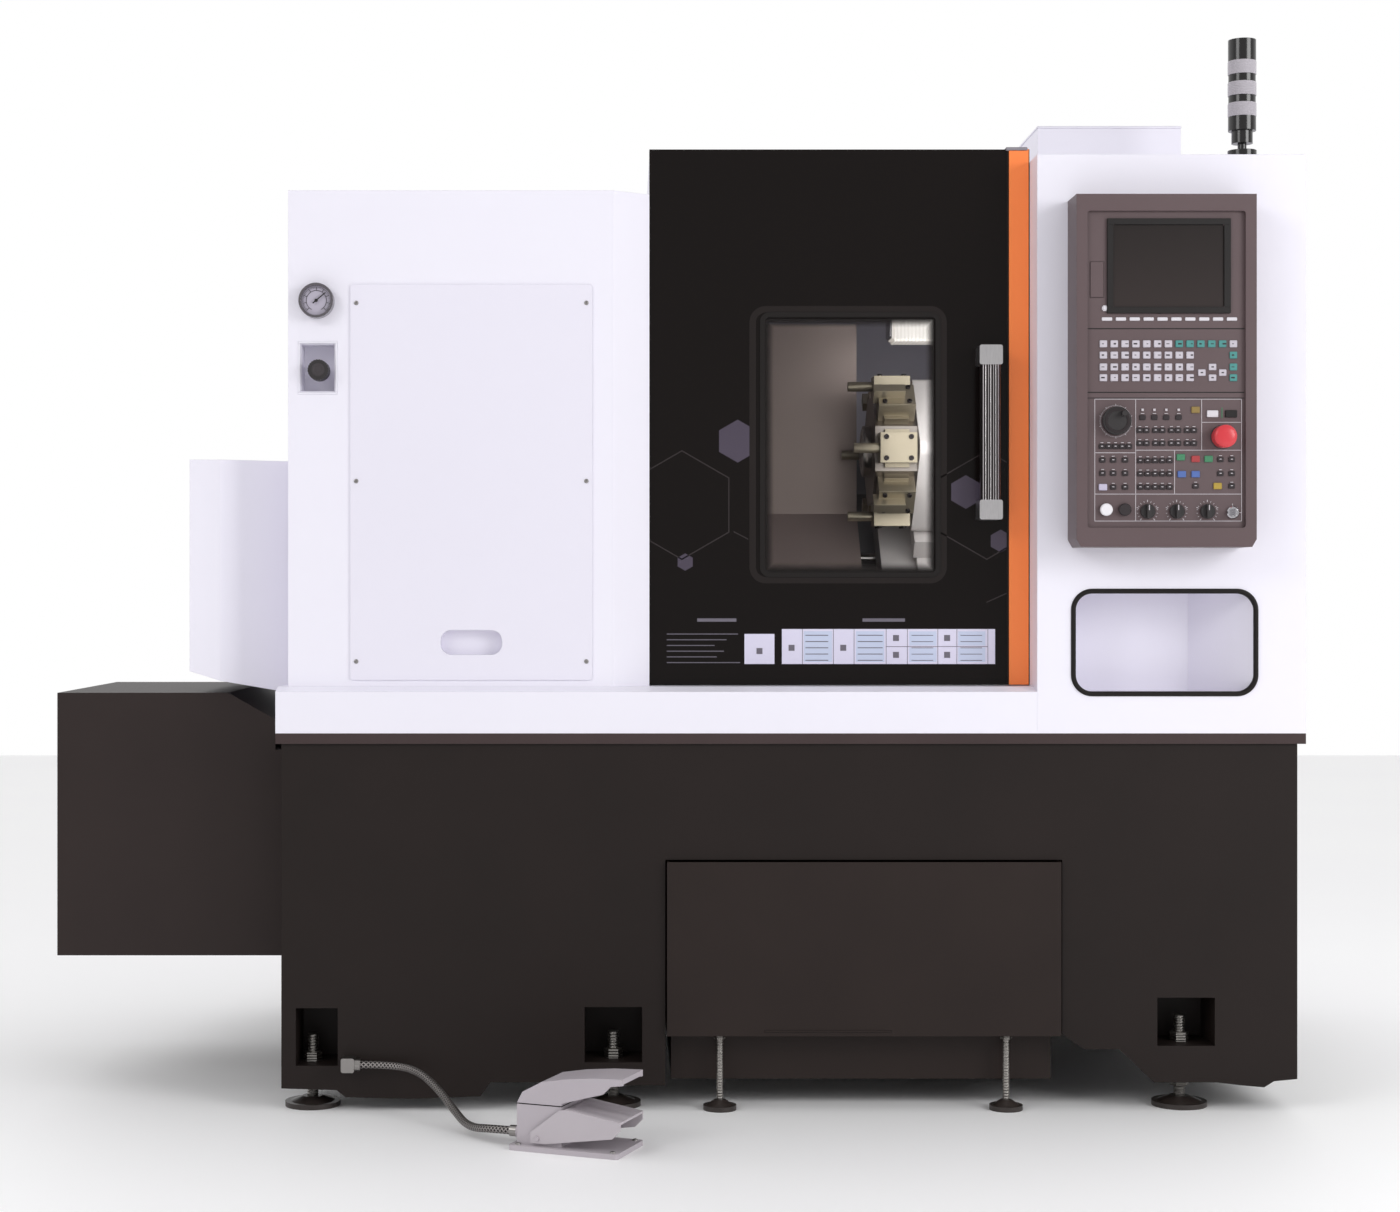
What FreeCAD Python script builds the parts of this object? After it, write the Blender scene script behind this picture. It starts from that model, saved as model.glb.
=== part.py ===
"""CNC turning lathe with a slant bed, a sliding door, a control panel and a foot pedal.

Millimetres. X runs to the operator's right, Y into the machine, Z up from the floor.
While it is drawn, X = 0 is the middle of the base and Y = 0 is its front trim; the last
step moves the whole lathe so that its origin is the bottom centre of its own box.
"""
import FreeCAD, Part
import math
import os

os.makedirs("parts", exist_ok=True)
V = FreeCAD.Vector
PARTS = {}

# ---- driving dimensions -------------------------------------------------------------
BODY_WIDTH = 1860.0        # base trim and cabinets, left to right
BODY_DEPTH = 1150.0        # front trim to the backs of the cabinets
BASE_TOP = 664.0           # top plate of the base
BASE_WALL = 16.0
BASE_SETBACK = 6.0         # base front behind the trim front
RAIL_HEIGHT = 19.0
RAIL_DEPTH = 30.0
BAND_HEIGHT = 75.0         # vertical part of the band
LEDGE_RISE = 8.0
LEDGE_SLOPE = 30.0         # depth of the sloped lip
SHEET = 3.0
GAP = 0.3                  # clearance between bodies that nearly touch
FIT = 0.05                 # radial running clearance of shafts

LEFT_TOP = 1668.0          # roof of the left cabinet
LEFT_INSET = 19.0          # left cabinet inside the end of the band
DOOR_LEFT = -254.0
DOOR_WIDTH = 701.0         # leaf and edge trim together
DOOR_TOP = 1752.0
DOOR_FRONT = 84.0
DOOR_THICK = 36.0
EDGE_TRIM_WIDTH = 40.0
CHAMFER_WIDTH = 66.0       # angled right edge of the left cabinet
WINDOW = (-45.0, 276.0, 971.0, 1447.0)     # left, right, bottom, top
RIGHT_TOP = 1728.0

SLANT_DEG = 45.0
SPINDLE_Y = 340.0
SPINDLE_Z = 1000.0
CENTRE_HEIGHT = 300.0      # spindle axis above the bed's sloping face
TURRET_REACH = 316.0       # spindle axis to turret axis, up the slope
TURRET_LEFT = 200.0        # left face of the turret disc
STATIONS = 8

BED_LEFT, BED_RIGHT = -880.0, 735.0
BED_TOP, BED_BACK = 1240.0, 1060.0
HEADSTOCK_LEFT, HEADSTOCK_RIGHT = -800.0, -230.0

PANEL = (500.0, 819.0, 1018.0, 1643.0)     # left, right, bottom, top
PANEL_DEPTH = 85.0
POCKET = (510.0, 840.0, 754.0, 940.0)
POCKET_DEPTH = 115.0
ACCESS = (-798.0, -358.0, 778.0, 1497.0)

TANK = (-223.0, 488.0, 137.0, 451.0)
TANK_DEPTH = 900.0
TANK_BOTTOM = 50.0
FEET_X = (-870.0, -320.0, 715.0)
FEET_Y = (62.0, 1090.0)
FOOT_RADIUS = 50.0
STUD_RADIUS = 10.0

HOUSING = (428.0, 150.0, 690.0, 260.0, 750.0)     # reach past the base, front, back, bottom, top
GUARD = (174.0, 110.0, 640.0, 740.0, 1183.0)
ROOF_BOX = (497.0, 773.0, 300.0, 600.0, 107.0)    # left, right, front, back, height
TOWER_X, TOWER_Y, TOWER_RADIUS = 826.0, 45.0, 25.0
REAR = (-700.0, 0.0, 700.0, 1640.0)               # rear cabinet: left, right, bottom, top
REAR_DEPTH = 150.0

PEDAL_CORNER = (-473.8, -244.5)
PEDAL_TURN_DEG = -22.0
PEDAL_LENGTH, PEDAL_WIDTH = 198.0, 120.0
HOSE_RADIUS = 7.0
HOSE_ROUTE = [(-775, -14, 88), (-722, -14, 88), (-672, -30, 82), (-632, -72, 58),
              (-600, -128, 32), (-570, -190, 14), (-525.8, -245.2, 24), (-481.4, -263.1, 24)]

# ---- what follows from them ---------------------------------------------------------
BODY_LEFT, BODY_RIGHT = -BODY_WIDTH / 2, BODY_WIDTH / 2
BASE_LEFT, BASE_RIGHT = BODY_LEFT + 10, BODY_RIGHT - 14
BAND_BOTTOM = BASE_TOP + RAIL_HEIGHT
BAND_TOP = BAND_BOTTOM + BAND_HEIGHT
LEDGE = BAND_TOP + LEDGE_RISE
LEFT_LEFT = BODY_LEFT + LEFT_INSET
DOOR_RIGHT = DOOR_LEFT + DOOR_WIDTH
RIGHT_LEFT = DOOR_RIGHT - 2
DOOR_BACK = DOOR_FRONT + DOOR_THICK
CHAMBER_FRONT = DOOR_BACK + 8
TURRET_WIDTH = 85.0
FLOOR_PLATE = 24.0


# ---- drawing helpers ----------------------------------------------------------------
def block(x0, x1, y0, y1, z0, z1):
    return Part.makeBox(x1 - x0, y1 - y0, z1 - z0, V(x0, y0, z0))


def rod(x, y, z, axis, radius, length):
    return Part.makeCylinder(radius, length, V(x, y, z), V(*axis))


def prism(points, direction):
    """Extrude a closed outline of 3-D points."""
    wire = Part.makePolygon([V(*p) for p in points] + [V(*points[0])])
    return Part.Face(wire).extrude(V(*direction))


def plan(points, z0, z1):
    return prism([(x, y, z0) for x, y in points], (0, 0, z1 - z0))


def front(points, y0, y1):
    return prism([(x, y0, z) for x, z in points], (0, y1 - y0, 0))


def side(points, x0, x1):
    return prism([(x0, y, z) for y, z in points], (x1 - x0, 0, 0))


def rounded(x0, x1, y0, y1, z0, z1, radius, along="y"):
    """A block whose four edges along one direction are rounded."""
    body = block(x0, x1, y0, y1, z0, z1)
    chosen = []
    for edge in body.Edges:
        run = edge.Vertexes[1].Point - edge.Vertexes[0].Point
        if abs(getattr(run, along)) > 1e-6:
            chosen.append(edge)
    return body.makeFillet(radius, chosen)


def join(shapes):
    result = shapes[0]
    for shape in shapes[1:]:
        result = result.fuse(shape)
    return result.removeSplitter()


def cut(shape, tools):
    for tool in tools:
        shape = shape.cut(tool)
    return shape


def group(shapes):
    return Part.makeCompound(shapes)


def add(name, shape):
    PARTS[name] = shape


# ---- the sloping bed's own coordinates: x, up the slope, off the slope -----------------
SLANT = math.radians(SLANT_DEG)
SLOPE_Y = SPINDLE_Y + CENTRE_HEIGHT * math.sin(SLANT)
SLOPE_Z = SPINDLE_Z - CENTRE_HEIGHT * math.cos(SLANT)


def on_slope(shape):
    turned = shape.copy()
    turned.rotate(V(0, 0, 0), V(1, 0, 0), SLANT_DEG)
    turned.translate(V(0, SLOPE_Y, SLOPE_Z))
    return turned


def slope_point(up, off):
    y = SLOPE_Y + up * math.cos(SLANT) - off * math.sin(SLANT)
    z = SLOPE_Z + up * math.sin(SLANT) + off * math.cos(SLANT)
    return y, z


# ---- base, feet and coolant tank --------------------------------------------------------
FOOT_BLOCK_BOTTOM = 52.0
FOOT_BLOCK_TOPS = (82.0, 88.0, 118.0)      # left, middle, right
POCKET_TOPS = (186.0, 188.0, 205.0)
POCKET_BACK = 52.0                         # pocket's back behind the foot's middle


def build_base():
    """Welded base: stepped front plate, side and back plates, top plate, webs, foot blocks."""
    tank_left, tank_right, _, tank_top = TANK
    bay_left, bay_right, bay_top = tank_left - SHEET, tank_right + SHEET, tank_top + SHEET
    lip = [(BASE_LEFT, BASE_TOP), (BASE_LEFT, 186), (BASE_LEFT + 22, 180), (BASE_LEFT + 22, 96),
           (BASE_LEFT, 88), (BASE_LEFT, 41), (-820, 38), (-804, 25), (-686, 22), (-560, 27),
           (-542, 52), (-412, 52), (-398, 45), (bay_left, 47), (bay_left, bay_top),
           (bay_right, bay_top), (bay_right, 139), (531, 112), (594, 112), (658, 52), (770, 52),
           (811, 47), (856, 43), (874, 54), (BASE_RIGHT, 58), (BASE_RIGHT, BASE_TOP)]
    y0, y1, back = BASE_SETBACK, BASE_SETBACK + BASE_WALL, BODY_DEPTH
    shapes = [front(lip, y0, y1),
              block(BASE_LEFT, BASE_LEFT + BASE_WALL, y1, back, 180, BASE_TOP),
              block(BASE_RIGHT - BASE_WALL, BASE_RIGHT, y1, back, 58, BASE_TOP),
              block(BASE_LEFT, BASE_RIGHT, back - BASE_WALL, back, 60, BASE_TOP),
              block(BASE_LEFT, BASE_RIGHT, y1, back, BASE_TOP - FLOOR_PLATE, BASE_TOP),
              block(bay_left - BASE_WALL, bay_left, y1, back, 60, BASE_TOP - FLOOR_PLATE),
              block(bay_right, bay_right + BASE_WALL, y1, back, 139, BASE_TOP - FLOOR_PLATE)]
    pockets = []
    for number, x in enumerate(FEET_X):
        near = max(x - 58, BASE_LEFT)
        deep, top = FEET_Y[0] + POCKET_BACK, POCKET_TOPS[number]
        shapes.append(block(near, x + 58, y0, deep + 6, FOOT_BLOCK_BOTTOM, top + 6))
        shapes.append(block(near, x + 58, FEET_Y[1] - 48, back - BASE_WALL, FOOT_BLOCK_BOTTOM,
                            FOOT_BLOCK_TOPS[number]))
        left = near + 26 if number == 0 else near + 6
        pockets.append(block(left, x + 52, y0 - 5, deep, FOOT_BLOCK_TOPS[number], top))
    shapes.append(block(BASE_LEFT, BASE_LEFT + BASE_WALL, back - 120, back, FOOT_BLOCK_BOTTOM, 200))
    base = cut(join(shapes), pockets)
    for x in FEET_X:
        for y in FEET_Y:
            base = base.cut(rod(x, y, 0, (0, 0, 1), STUD_RADIUS + 0.5, 140))
    chips = block(-200, 600, CHAMBER_FRONT, 400, 600, BASE_TOP + 1)
    return base.cut(chips)


def hexagon(x, y, z, across, height, bore):
    corner = across / math.sqrt(3)
    points = []
    for step in range(6):
        angle = math.radians(60 * step)
        points.append((x + corner * math.cos(angle), y + corner * math.sin(angle)))
    return plan(points, z, z + height).cut(rod(x, y, z - 1, (0, 0, 1), bore, height + 2))


def levelling_foot(x, y, pad, stud, top, seat_low, seat_high):
    """A turned pad with its stud, and a nut under and over the plate that it carries."""
    disc = rod(x, y, 0, (0, 0, 1), pad, 9)
    cone = Part.makeCone(pad * 0.8, stud * 1.8, 9, V(x, y, 9), V(0, 0, 1))
    foot = join([disc, cone, rod(x, y, 10, (0, 0, 1), stud, top - 10)])
    pieces = [foot, hexagon(x, y, seat_low - stud * 1.5, stud * 3, stud * 1.5, stud + FIT)]
    if seat_high:
        pieces.append(hexagon(x, y, seat_high, stud * 3, stud * 1.6, stud + FIT))
    return pieces


def build_feet():
    pieces = []
    for x, top in zip(FEET_X, FOOT_BLOCK_TOPS):
        for y in FEET_Y:
            pieces += levelling_foot(x, y, FOOT_RADIUS, STUD_RADIUS, top + 48,
                                     FOOT_BLOCK_BOTTOM, top)
    return group(pieces)


TANK_FEET_X = (TANK[0] + 96, TANK[1] - 96)


def build_tank():
    """Folded coolant tank: a deep front box over a narrower trough."""
    left, right, step, top = TANK
    y0, y1, wall = BASE_SETBACK - 10, TANK_DEPTH, 4.0
    upper = block(left, right, y0, y1, step, top)
    lower = block(left + 8, right - 10, 50, y1, TANK_BOTTOM, step + 1)
    tank = join([upper, lower])
    tank = tank.cut(block(left + wall, right - wall, y0 + wall, y1 - wall, step + wall, top + 1))
    trough = block(left + 8 + wall, right - 10 - wall, 50 + wall, y1 - wall,
                   TANK_BOTTOM + wall, step + wall + 1)
    tank = tank.cut(trough)
    for x in TANK_FEET_X:
        tank = tank.cut(rod(x, 22, step - 1, (0, 0, 1), 6.5, wall + 2))
    return tank


def build_tank_feet():
    pieces = []
    for x in TANK_FEET_X:
        pieces += levelling_foot(x, 22, 30, 6, TANK[2] + 24, TANK[2], TANK[2] + 4)
        pieces.append(join([rod(x, TANK_DEPTH - 60, 0, (0, 0, 1), 30, 12),
                            rod(x, TANK_DEPTH - 60, 10, (0, 0, 1), 8, TANK_BOTTOM - 10)]))
    return pieces


add("base_frame", build_base())
add("coolant_tank", build_tank())
add("levelling_feet", group(build_feet().Solids + build_tank_feet()))


# ---- trim rail, band and cabinets ---------------------------------------------------------
def build_rail():
    """Dark trim rail: a flat bar frame on the edge of the base's top plate."""
    outer = block(BODY_LEFT, BODY_RIGHT, 0, BODY_DEPTH, BASE_TOP, BAND_BOTTOM)
    return outer.cut(block(BODY_LEFT + RAIL_DEPTH, BODY_RIGHT - RAIL_DEPTH, RAIL_DEPTH,
                           BODY_DEPTH - RAIL_DEPTH, BASE_TOP - 1, BAND_BOTTOM + 1))


def ledge_profile(reach):
    """Folded lip: up the face, over the slope and back along the flat."""
    return [(0, BAND_BOTTOM), (0, BAND_TOP), (LEDGE_SLOPE, LEDGE), (reach, LEDGE),
            (reach, LEDGE - SHEET), (LEDGE_SLOPE, LEDGE - SHEET), (SHEET, BAND_TOP - SHEET),
            (SHEET, BAND_BOTTOM)]


def build_band():
    """White folded band under the left cabinet and the door."""
    face = side(ledge_profile(CHAMBER_FRONT), BODY_LEFT, RIGHT_LEFT)
    end_profile = [(BODY_LEFT, BAND_BOTTOM), (BODY_LEFT, BAND_TOP), (LEFT_LEFT, LEDGE),
                   (LEFT_LEFT + 28, LEDGE), (LEFT_LEFT + 28, LEDGE - SHEET),
                   (LEFT_LEFT, LEDGE - SHEET), (BODY_LEFT + SHEET, BAND_TOP - SHEET),
                   (BODY_LEFT + SHEET, BAND_BOTTOM)]
    end = front(end_profile, LEDGE_SLOPE, BODY_DEPTH)
    back = block(BODY_LEFT, RIGHT_LEFT, BODY_DEPTH - SHEET, BODY_DEPTH, BAND_BOTTOM, LEDGE)
    return join([face, end, back])


def build_left_cabinet():
    """Left cabinet of folded sheet: angled right edge, slot in the roof for the door."""
    x0, y0, edge_y = LEFT_LEFT, LEDGE_SLOPE, DOOR_FRONT - 6
    bend = DOOR_LEFT - CHAMFER_WIDTH
    length = math.hypot(CHAMFER_WIDTH, edge_y - y0)
    shift_y = SHEET * length / CHAMFER_WIDTH
    outer = [(x0, y0), (bend, y0), (DOOR_LEFT, edge_y), (DOOR_LEFT, BODY_DEPTH), (x0, BODY_DEPTH)]
    slope = (edge_y - y0) / CHAMFER_WIDTH
    inner_bend = bend - (shift_y - SHEET) / slope
    inner = [(x0 + SHEET, y0 + SHEET), (inner_bend, y0 + SHEET), (DOOR_LEFT, edge_y + shift_y),
             (DOOR_LEFT + 1, edge_y + shift_y), (DOOR_LEFT + 1, BODY_DEPTH - SHEET),
             (x0 + SHEET, BODY_DEPTH - SHEET)]
    shell = plan(outer, LEDGE, LEFT_TOP).cut(plan(inner, LEDGE - 1, LEFT_TOP - SHEET))
    left, right, low, high = ACCESS
    hatch = rounded(left + 20, right - 20, y0 - 1, y0 + SHEET + 1, low + 20, high - 20, 12)
    slot = block(x0 + 40, DOOR_LEFT + 1, DOOR_FRONT - 5, DOOR_BACK + 5, LEFT_TOP - 10, LEFT_TOP + 1)
    spindle_hole = rod(x0 - 1, SPINDLE_Y, SPINDLE_Z, (1, 0, 0), 110, SHEET + 2)
    regulator = block(x0 + 22, x0 + 86, y0 - 1, y0 + SHEET + 1, 1301, 1390)
    gauge = rod(GAUGE_X, y0 - 1, GAUGE_Z, (0, 1, 0), 20, SHEET + 2)
    return cut(shell, [hatch, slot, spindle_hole, regulator, gauge])


GAUGE_X, GAUGE_Z = LEFT_LEFT + 53.0, 1466.0
REGULATOR_Z = 1340.0


def build_access_panel():
    """Screwed cover with a pressed finger pull near its bottom edge."""
    left, right, low, high = ACCESS
    y0 = LEDGE_SLOPE
    sheet = rounded(left, right, y0 - 3, y0 - GAP, low, high, 6)
    middle = (left + right) / 2
    outer = rounded(middle - 58, middle + 58, y0 - 3, y0 + 22, low + 44, low + 93, 22)
    inner = rounded(middle - 56, middle + 56, y0 - 4, y0 + 20, low + 46, low + 91, 20)
    return join([sheet, outer]).cut(inner)


def build_right_cabinet():
    """Right cabinet of folded sheet, open on its left to the work chamber."""
    shell = block(RIGHT_LEFT, BODY_RIGHT, 0, BODY_DEPTH, BAND_BOTTOM, RIGHT_TOP)
    shell = shell.cut(block(RIGHT_LEFT + SHEET, BODY_RIGHT - SHEET, SHEET, BODY_DEPTH - SHEET,
                            BAND_BOTTOM - 1, RIGHT_TOP - SHEET))
    chamber = block(RIGHT_LEFT - 1, RIGHT_LEFT + SHEET + 1, CHAMBER_FRONT, BODY_DEPTH - SHEET,
                    BAND_BOTTOM - 1, BEAM_HIGH + 2)
    left, right, low, high = POCKET
    pocket = rounded(left, right, -1, SHEET + 1, low, high, 34)
    left, right, low, high = PANEL
    wiring = block(left + 60, right - 60, -1, SHEET + 1, low + 60, high - 60)
    cable = rod(TOWER_X, TOWER_Y, RIGHT_TOP - 10, (0, 0, 1), 6, 20)
    return cut(shell, [chamber, pocket, wiring, cable])


def build_pocket_tray():
    """Storage pocket: a pressed tray whose right wall leans in."""
    left, right, low, high = POCKET
    wall, lean = 2.0, 95.0
    outer = [(left + GAP, 0), (right - GAP, 0), (right - lean, POCKET_DEPTH),
             (left + 6, POCKET_DEPTH)]
    inner = [(left + GAP + wall, -1), (right - GAP - wall, -1),
             (right - lean - wall, POCKET_DEPTH - wall), (left + 6 + wall, POCKET_DEPTH - wall)]
    tray = plan(outer, low + GAP, high - GAP).cut(plan(inner, low + wall, high - wall))
    mouth = rounded(left + GAP, right - GAP, -2, 40, low + GAP, high - GAP, 34)
    behind = block(left - 5, right + 5, 39, POCKET_DEPTH + 5, low - 5, high + 5)
    return tray.common(mouth.fuse(behind))


def build_chamber():
    """Roof and back of the work chamber, one folded sheet."""
    left, right, back = DOOR_LEFT + GAP, RIGHT_LEFT - GAP, BODY_DEPTH
    top = DOOR_TOP - 9
    roof = block(left, right, CHAMBER_FRONT, back, LEFT_TOP + GAP, top)
    roof = roof.cut(block(left + SHEET, right - SHEET, CHAMBER_FRONT + SHEET, back - SHEET,
                          LEFT_TOP - 1, top - SHEET))
    wall = block(left, right, back - SHEET, back, LEDGE, top)
    return join([roof, wall])


def build_bulkhead():
    """Sheet between the headstock bay and the work chamber, cut round bed and headstock."""
    x1 = HEADSTOCK_RIGHT - 10
    sheet = block(x1 - SHEET, x1, CHAMBER_FRONT, BODY_DEPTH - SHEET, LEDGE, LEFT_TOP - SHEET)
    sheet = sheet.cut(rod(x1 - SHEET - 1, SPINDLE_Y, SPINDLE_Z, (1, 0, 0), 133, SHEET + 2))
    neck = on_slope(block(x1 - SHEET - 1, x1 + 1, -133, 133, -2, CENTRE_HEIGHT))
    return cut(sheet, [neck, side(bed_outline(2), x1 - SHEET - 1, x1 + 1),
                       rail_hole(x1 - SHEET - 1, x1 + 1)])


def rail_hole(x0, x1):
    return block(x0, x1, CHAMBER_FRONT - 1, CHAMBER_FRONT + BEAM_DEPTH + 2, BEAM_LOW - 2, BEAM_HIGH + 2)


BEAM_LOW, BEAM_HIGH, BEAM_DEPTH = 1590.0, 1650.0, 36.0


def build_rail_beam():
    """Beam across the machine with the rail that the door hangs on."""
    y0 = CHAMBER_FRONT
    beam = block(LEFT_LEFT + SHEET, BODY_RIGHT - SHEET, y0, y0 + BEAM_DEPTH, BEAM_LOW, BEAM_HIGH)
    beam = beam.cut(block(LEFT_LEFT, BODY_RIGHT, y0 + 4, y0 + BEAM_DEPTH - 4, BEAM_LOW - 1, BEAM_HIGH - 4))
    rail = block(LEFT_LEFT + SHEET, RIGHT_LEFT - 2, y0 - 5, y0, BEAM_LOW + 20, BEAM_LOW + 40)
    return join([beam, rail])


add("base_trim_rail", build_rail())
add("front_band", build_band())
add("left_cabinet", build_left_cabinet())
add("access_panel", build_access_panel())
add("right_cabinet", build_right_cabinet())
add("pocket_tray", build_pocket_tray())
add("chamber_roof", build_chamber())
add("door_rail_beam", build_rail_beam())


# ---- door ------------------------------------------------------------------------------
def build_door_leaf():
    """Folded door leaf with a framed window opening and hangers at the top."""
    right = DOOR_RIGHT - EDGE_TRIM_WIDTH
    low = LEDGE + 2
    leaf = block(DOOR_LEFT, right, DOOR_FRONT, DOOR_BACK, low, DOOR_TOP)
    left, win_right, bottom, top = WINDOW
    leaf = leaf.cut(block(DOOR_LEFT + SHEET, right - SHEET, DOOR_FRONT + SHEET, DOOR_BACK + 1,
                          low + SHEET, DOOR_TOP - SHEET))
    frame = rounded(left - SHEET, win_right + SHEET, DOOR_FRONT, DOOR_BACK, bottom - SHEET,
                    top + SHEET, 15)
    leaf = join([leaf, frame])
    leaf = leaf.cut(rounded(left, win_right, DOOR_FRONT - 1, DOOR_BACK + 1, bottom, top, 12))
    hangers = []
    for x in (DOOR_LEFT + 60, right - 120):
        y1, z = DOOR_BACK + 3 - GAP, BEAM_LOW + 20
        hanger = block(x, x + 60, DOOR_FRONT + SHEET, y1 + 4, z - 12, z + 32)
        hangers.append(hanger.cut(block(x - 1, x + 61, y1, y1 + 6, z - GAP, z + 20 + GAP)))
    return join([leaf] + hangers)


def build_window():
    """Laminated pane seated behind the opening's front edge."""
    left, right, bottom, top = WINDOW
    return rounded(left + 1, right - 1, DOOR_FRONT + 8, DOOR_FRONT + 16, bottom + 1, top - 1, 11)


def build_edge_trim():
    """Painted strip along the door's closing edge."""
    x0 = DOOR_RIGHT - EDGE_TRIM_WIDTH
    strip = block(x0, DOOR_RIGHT - 4, DOOR_FRONT - 4, DOOR_BACK, LEDGE + 2, DOOR_TOP)
    return strip.cut(block(x0 - 1, DOOR_RIGHT - 4 - SHEET, DOOR_FRONT - 4 + SHEET, DOOR_BACK + 1,
                           LEDGE + 2 + SHEET, DOOR_TOP - SHEET))


HANDLE = (367.0, 1070.0, 1388.0, 40.0)      # middle, bottom, top, gap behind the grip


def build_handle():
    """Square end blocks and a fluted grip between them."""
    x, low, high, reach = HANDLE
    half, end = 21.0, 36.0
    pieces = []
    for z in (low, high - end):
        foot = rounded(x - half, x + half, DOOR_FRONT - reach - 12, DOOR_FRONT, z, z + end, 4)
        pieces.append(foot)
    grip = rounded(x - half + 3, x + half - 3, DOOR_FRONT - reach - 10, DOOR_FRONT - reach + 14,
                   low + end, high - end, 8, "z")
    flutes = []
    for step in (-9, 0, 9):
        flutes.append(rod(x + step, DOOR_FRONT - reach - 11, low + end - 1, (0, 0, 1), 2.6,
                          high - low - 2 * end + 2))
    pieces.append(cut(grip, flutes))
    return group(pieces)


add("door_leaf", build_door_leaf())
add("door_window", build_window())
add("door_edge_trim", build_edge_trim())
add("door_handle", build_handle())


# ---- slant bed, headstock and spindle -------------------------------------------------------
def bed_outline(grow=0.0):
    foot = BASE_TOP
    offset = SLOPE_Z - SLOPE_Y
    return [(foot - offset - grow, foot), (BED_TOP - offset - grow, BED_TOP + grow),
            (BED_BACK + grow, BED_TOP + grow), (BED_BACK + grow, foot)]


WAYS = ((60, 110), (480, 530))
WAY_HEIGHT = 30.0
SCREW_UP, SCREW_OFF, SCREW_RADIUS = 295.0, 17.0, 12.0
SCREW_LEFT = -165.0


def build_bed():
    """Cast slant bed, hollow end to end, with two box ways and the screw's bearings."""
    bed = side(bed_outline(), BED_LEFT, BED_RIGHT)
    offset = SLOPE_Z - SLOPE_Y
    hollow = [(BASE_TOP + 60 - offset + 90, BASE_TOP + 60), (BED_TOP - 60 - offset, BED_TOP - 140),
              (BED_BACK - 60, BED_TOP - 140), (BED_BACK - 60, BASE_TOP + 60)]
    bed = bed.cut(side(hollow, BED_LEFT - 1, BED_RIGHT + 1))
    extras = []
    for low, high in WAYS:
        extras.append(block(HEADSTOCK_RIGHT + 2, BED_RIGHT, low, high, -1, WAY_HEIGHT))
    for x0, x1 in ((SCREW_LEFT, SCREW_LEFT + 20), (BED_RIGHT - 28, BED_RIGHT)):
        extras.append(block(x0, x1, SCREW_UP - 28, SCREW_UP + 28, -1, WAY_HEIGHT + 6))
    bed = join([bed] + [on_slope(shape) for shape in extras])
    bore = on_slope(rod(SCREW_LEFT - 1, SCREW_UP, SCREW_OFF, (1, 0, 0), SCREW_RADIUS + FIT,
                        BED_RIGHT - SCREW_LEFT + 2))
    return bed.cut(bore)


SPINDLE_RADIUS, BEARING_RADIUS = 50.0, 80.0
BEARINGS = ((HEADSTOCK_LEFT + 20, 40.0), (HEADSTOCK_RIGHT - 100, 60.0))
NOSE = HEADSTOCK_RIGHT + 16
CHUCK_RADIUS, CHUCK_LENGTH = 85.0, 100.0
PULLEY_LEFT, PULLEY_WIDTH, PULLEY_RADIUS = -848.0, 36.0, 95.0
CYLINDER_LEFT, CYLINDER_RADIUS = -1040.0, 75.0
MOTOR_Y, MOTOR_Z, MOTOR_HALF, MOTOR_PULLEY_RADIUS = 216.0, 775.0, 82.0, 70.0
BAR_BORE = 26.0


def spindle_rod(x, radius, length):
    return rod(x, SPINDLE_Y, SPINDLE_Z, (1, 0, 0), radius, length)


def build_headstock():
    """Headstock casting on the bed's sloping face, bored for the spindle bearings."""
    length = HEADSTOCK_RIGHT - HEADSTOCK_LEFT
    foot = on_slope(block(HEADSTOCK_LEFT, HEADSTOCK_RIGHT, -130, 130, 0, CENTRE_HEIGHT))
    body = join([foot, spindle_rod(HEADSTOCK_LEFT, 130, length)])
    return body.cut(spindle_rod(HEADSTOCK_LEFT - 1, BEARING_RADIUS, length + 2))


def build_bearings():
    rings = []
    for x, width in BEARINGS:
        ring = spindle_rod(x, BEARING_RADIUS, width)
        rings.append(ring.cut(spindle_rod(x - 1, SPINDLE_RADIUS + FIT, width + 2)))
    return group(rings)


def build_spindle():
    """Hollow spindle with its nose flange and its belt pulley."""
    shaft = spindle_rod(CYLINDER_LEFT + 178, SPINDLE_RADIUS, NOSE - CYLINDER_LEFT - 178)
    nose = spindle_rod(HEADSTOCK_RIGHT + 2, 70, NOSE - HEADSTOCK_RIGHT - 2)
    pulley = spindle_rod(PULLEY_LEFT, PULLEY_RADIUS, PULLEY_WIDTH)
    bore = spindle_rod(CYLINDER_LEFT, BAR_BORE, NOSE - CYLINDER_LEFT + 1)
    return join([shaft, nose, pulley]).cut(bore)


JAW_WIDTH, JAW_STROKE = 30.0, 5.0


def about_spindle(shape, degrees):
    turned = shape.copy()
    turned.rotate(V(0, SPINDLE_Y, SPINDLE_Z), V(1, 0, 0), degrees)
    return turned


def build_jaw():
    """Stepped soft jaw with its tee foot in the chuck's slot, standing up from the axis."""
    face = NOSE + CHUCK_LENGTH
    y0, y1 = SPINDLE_Y - JAW_WIDTH / 2, SPINDLE_Y + JAW_WIDTH / 2
    low, high = SPINDLE_Z + 32, SPINDLE_Z + 76
    block_one = block(face + GAP, face + 22, y0, y1, low, high)
    block_two = block(face + 21, face + 38, y0, y1, low + 14, high)
    foot = block(face - 12, face + 1, y0 + 6, y1 - 6, low, high)
    return join([block_one, block_two, foot])


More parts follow.
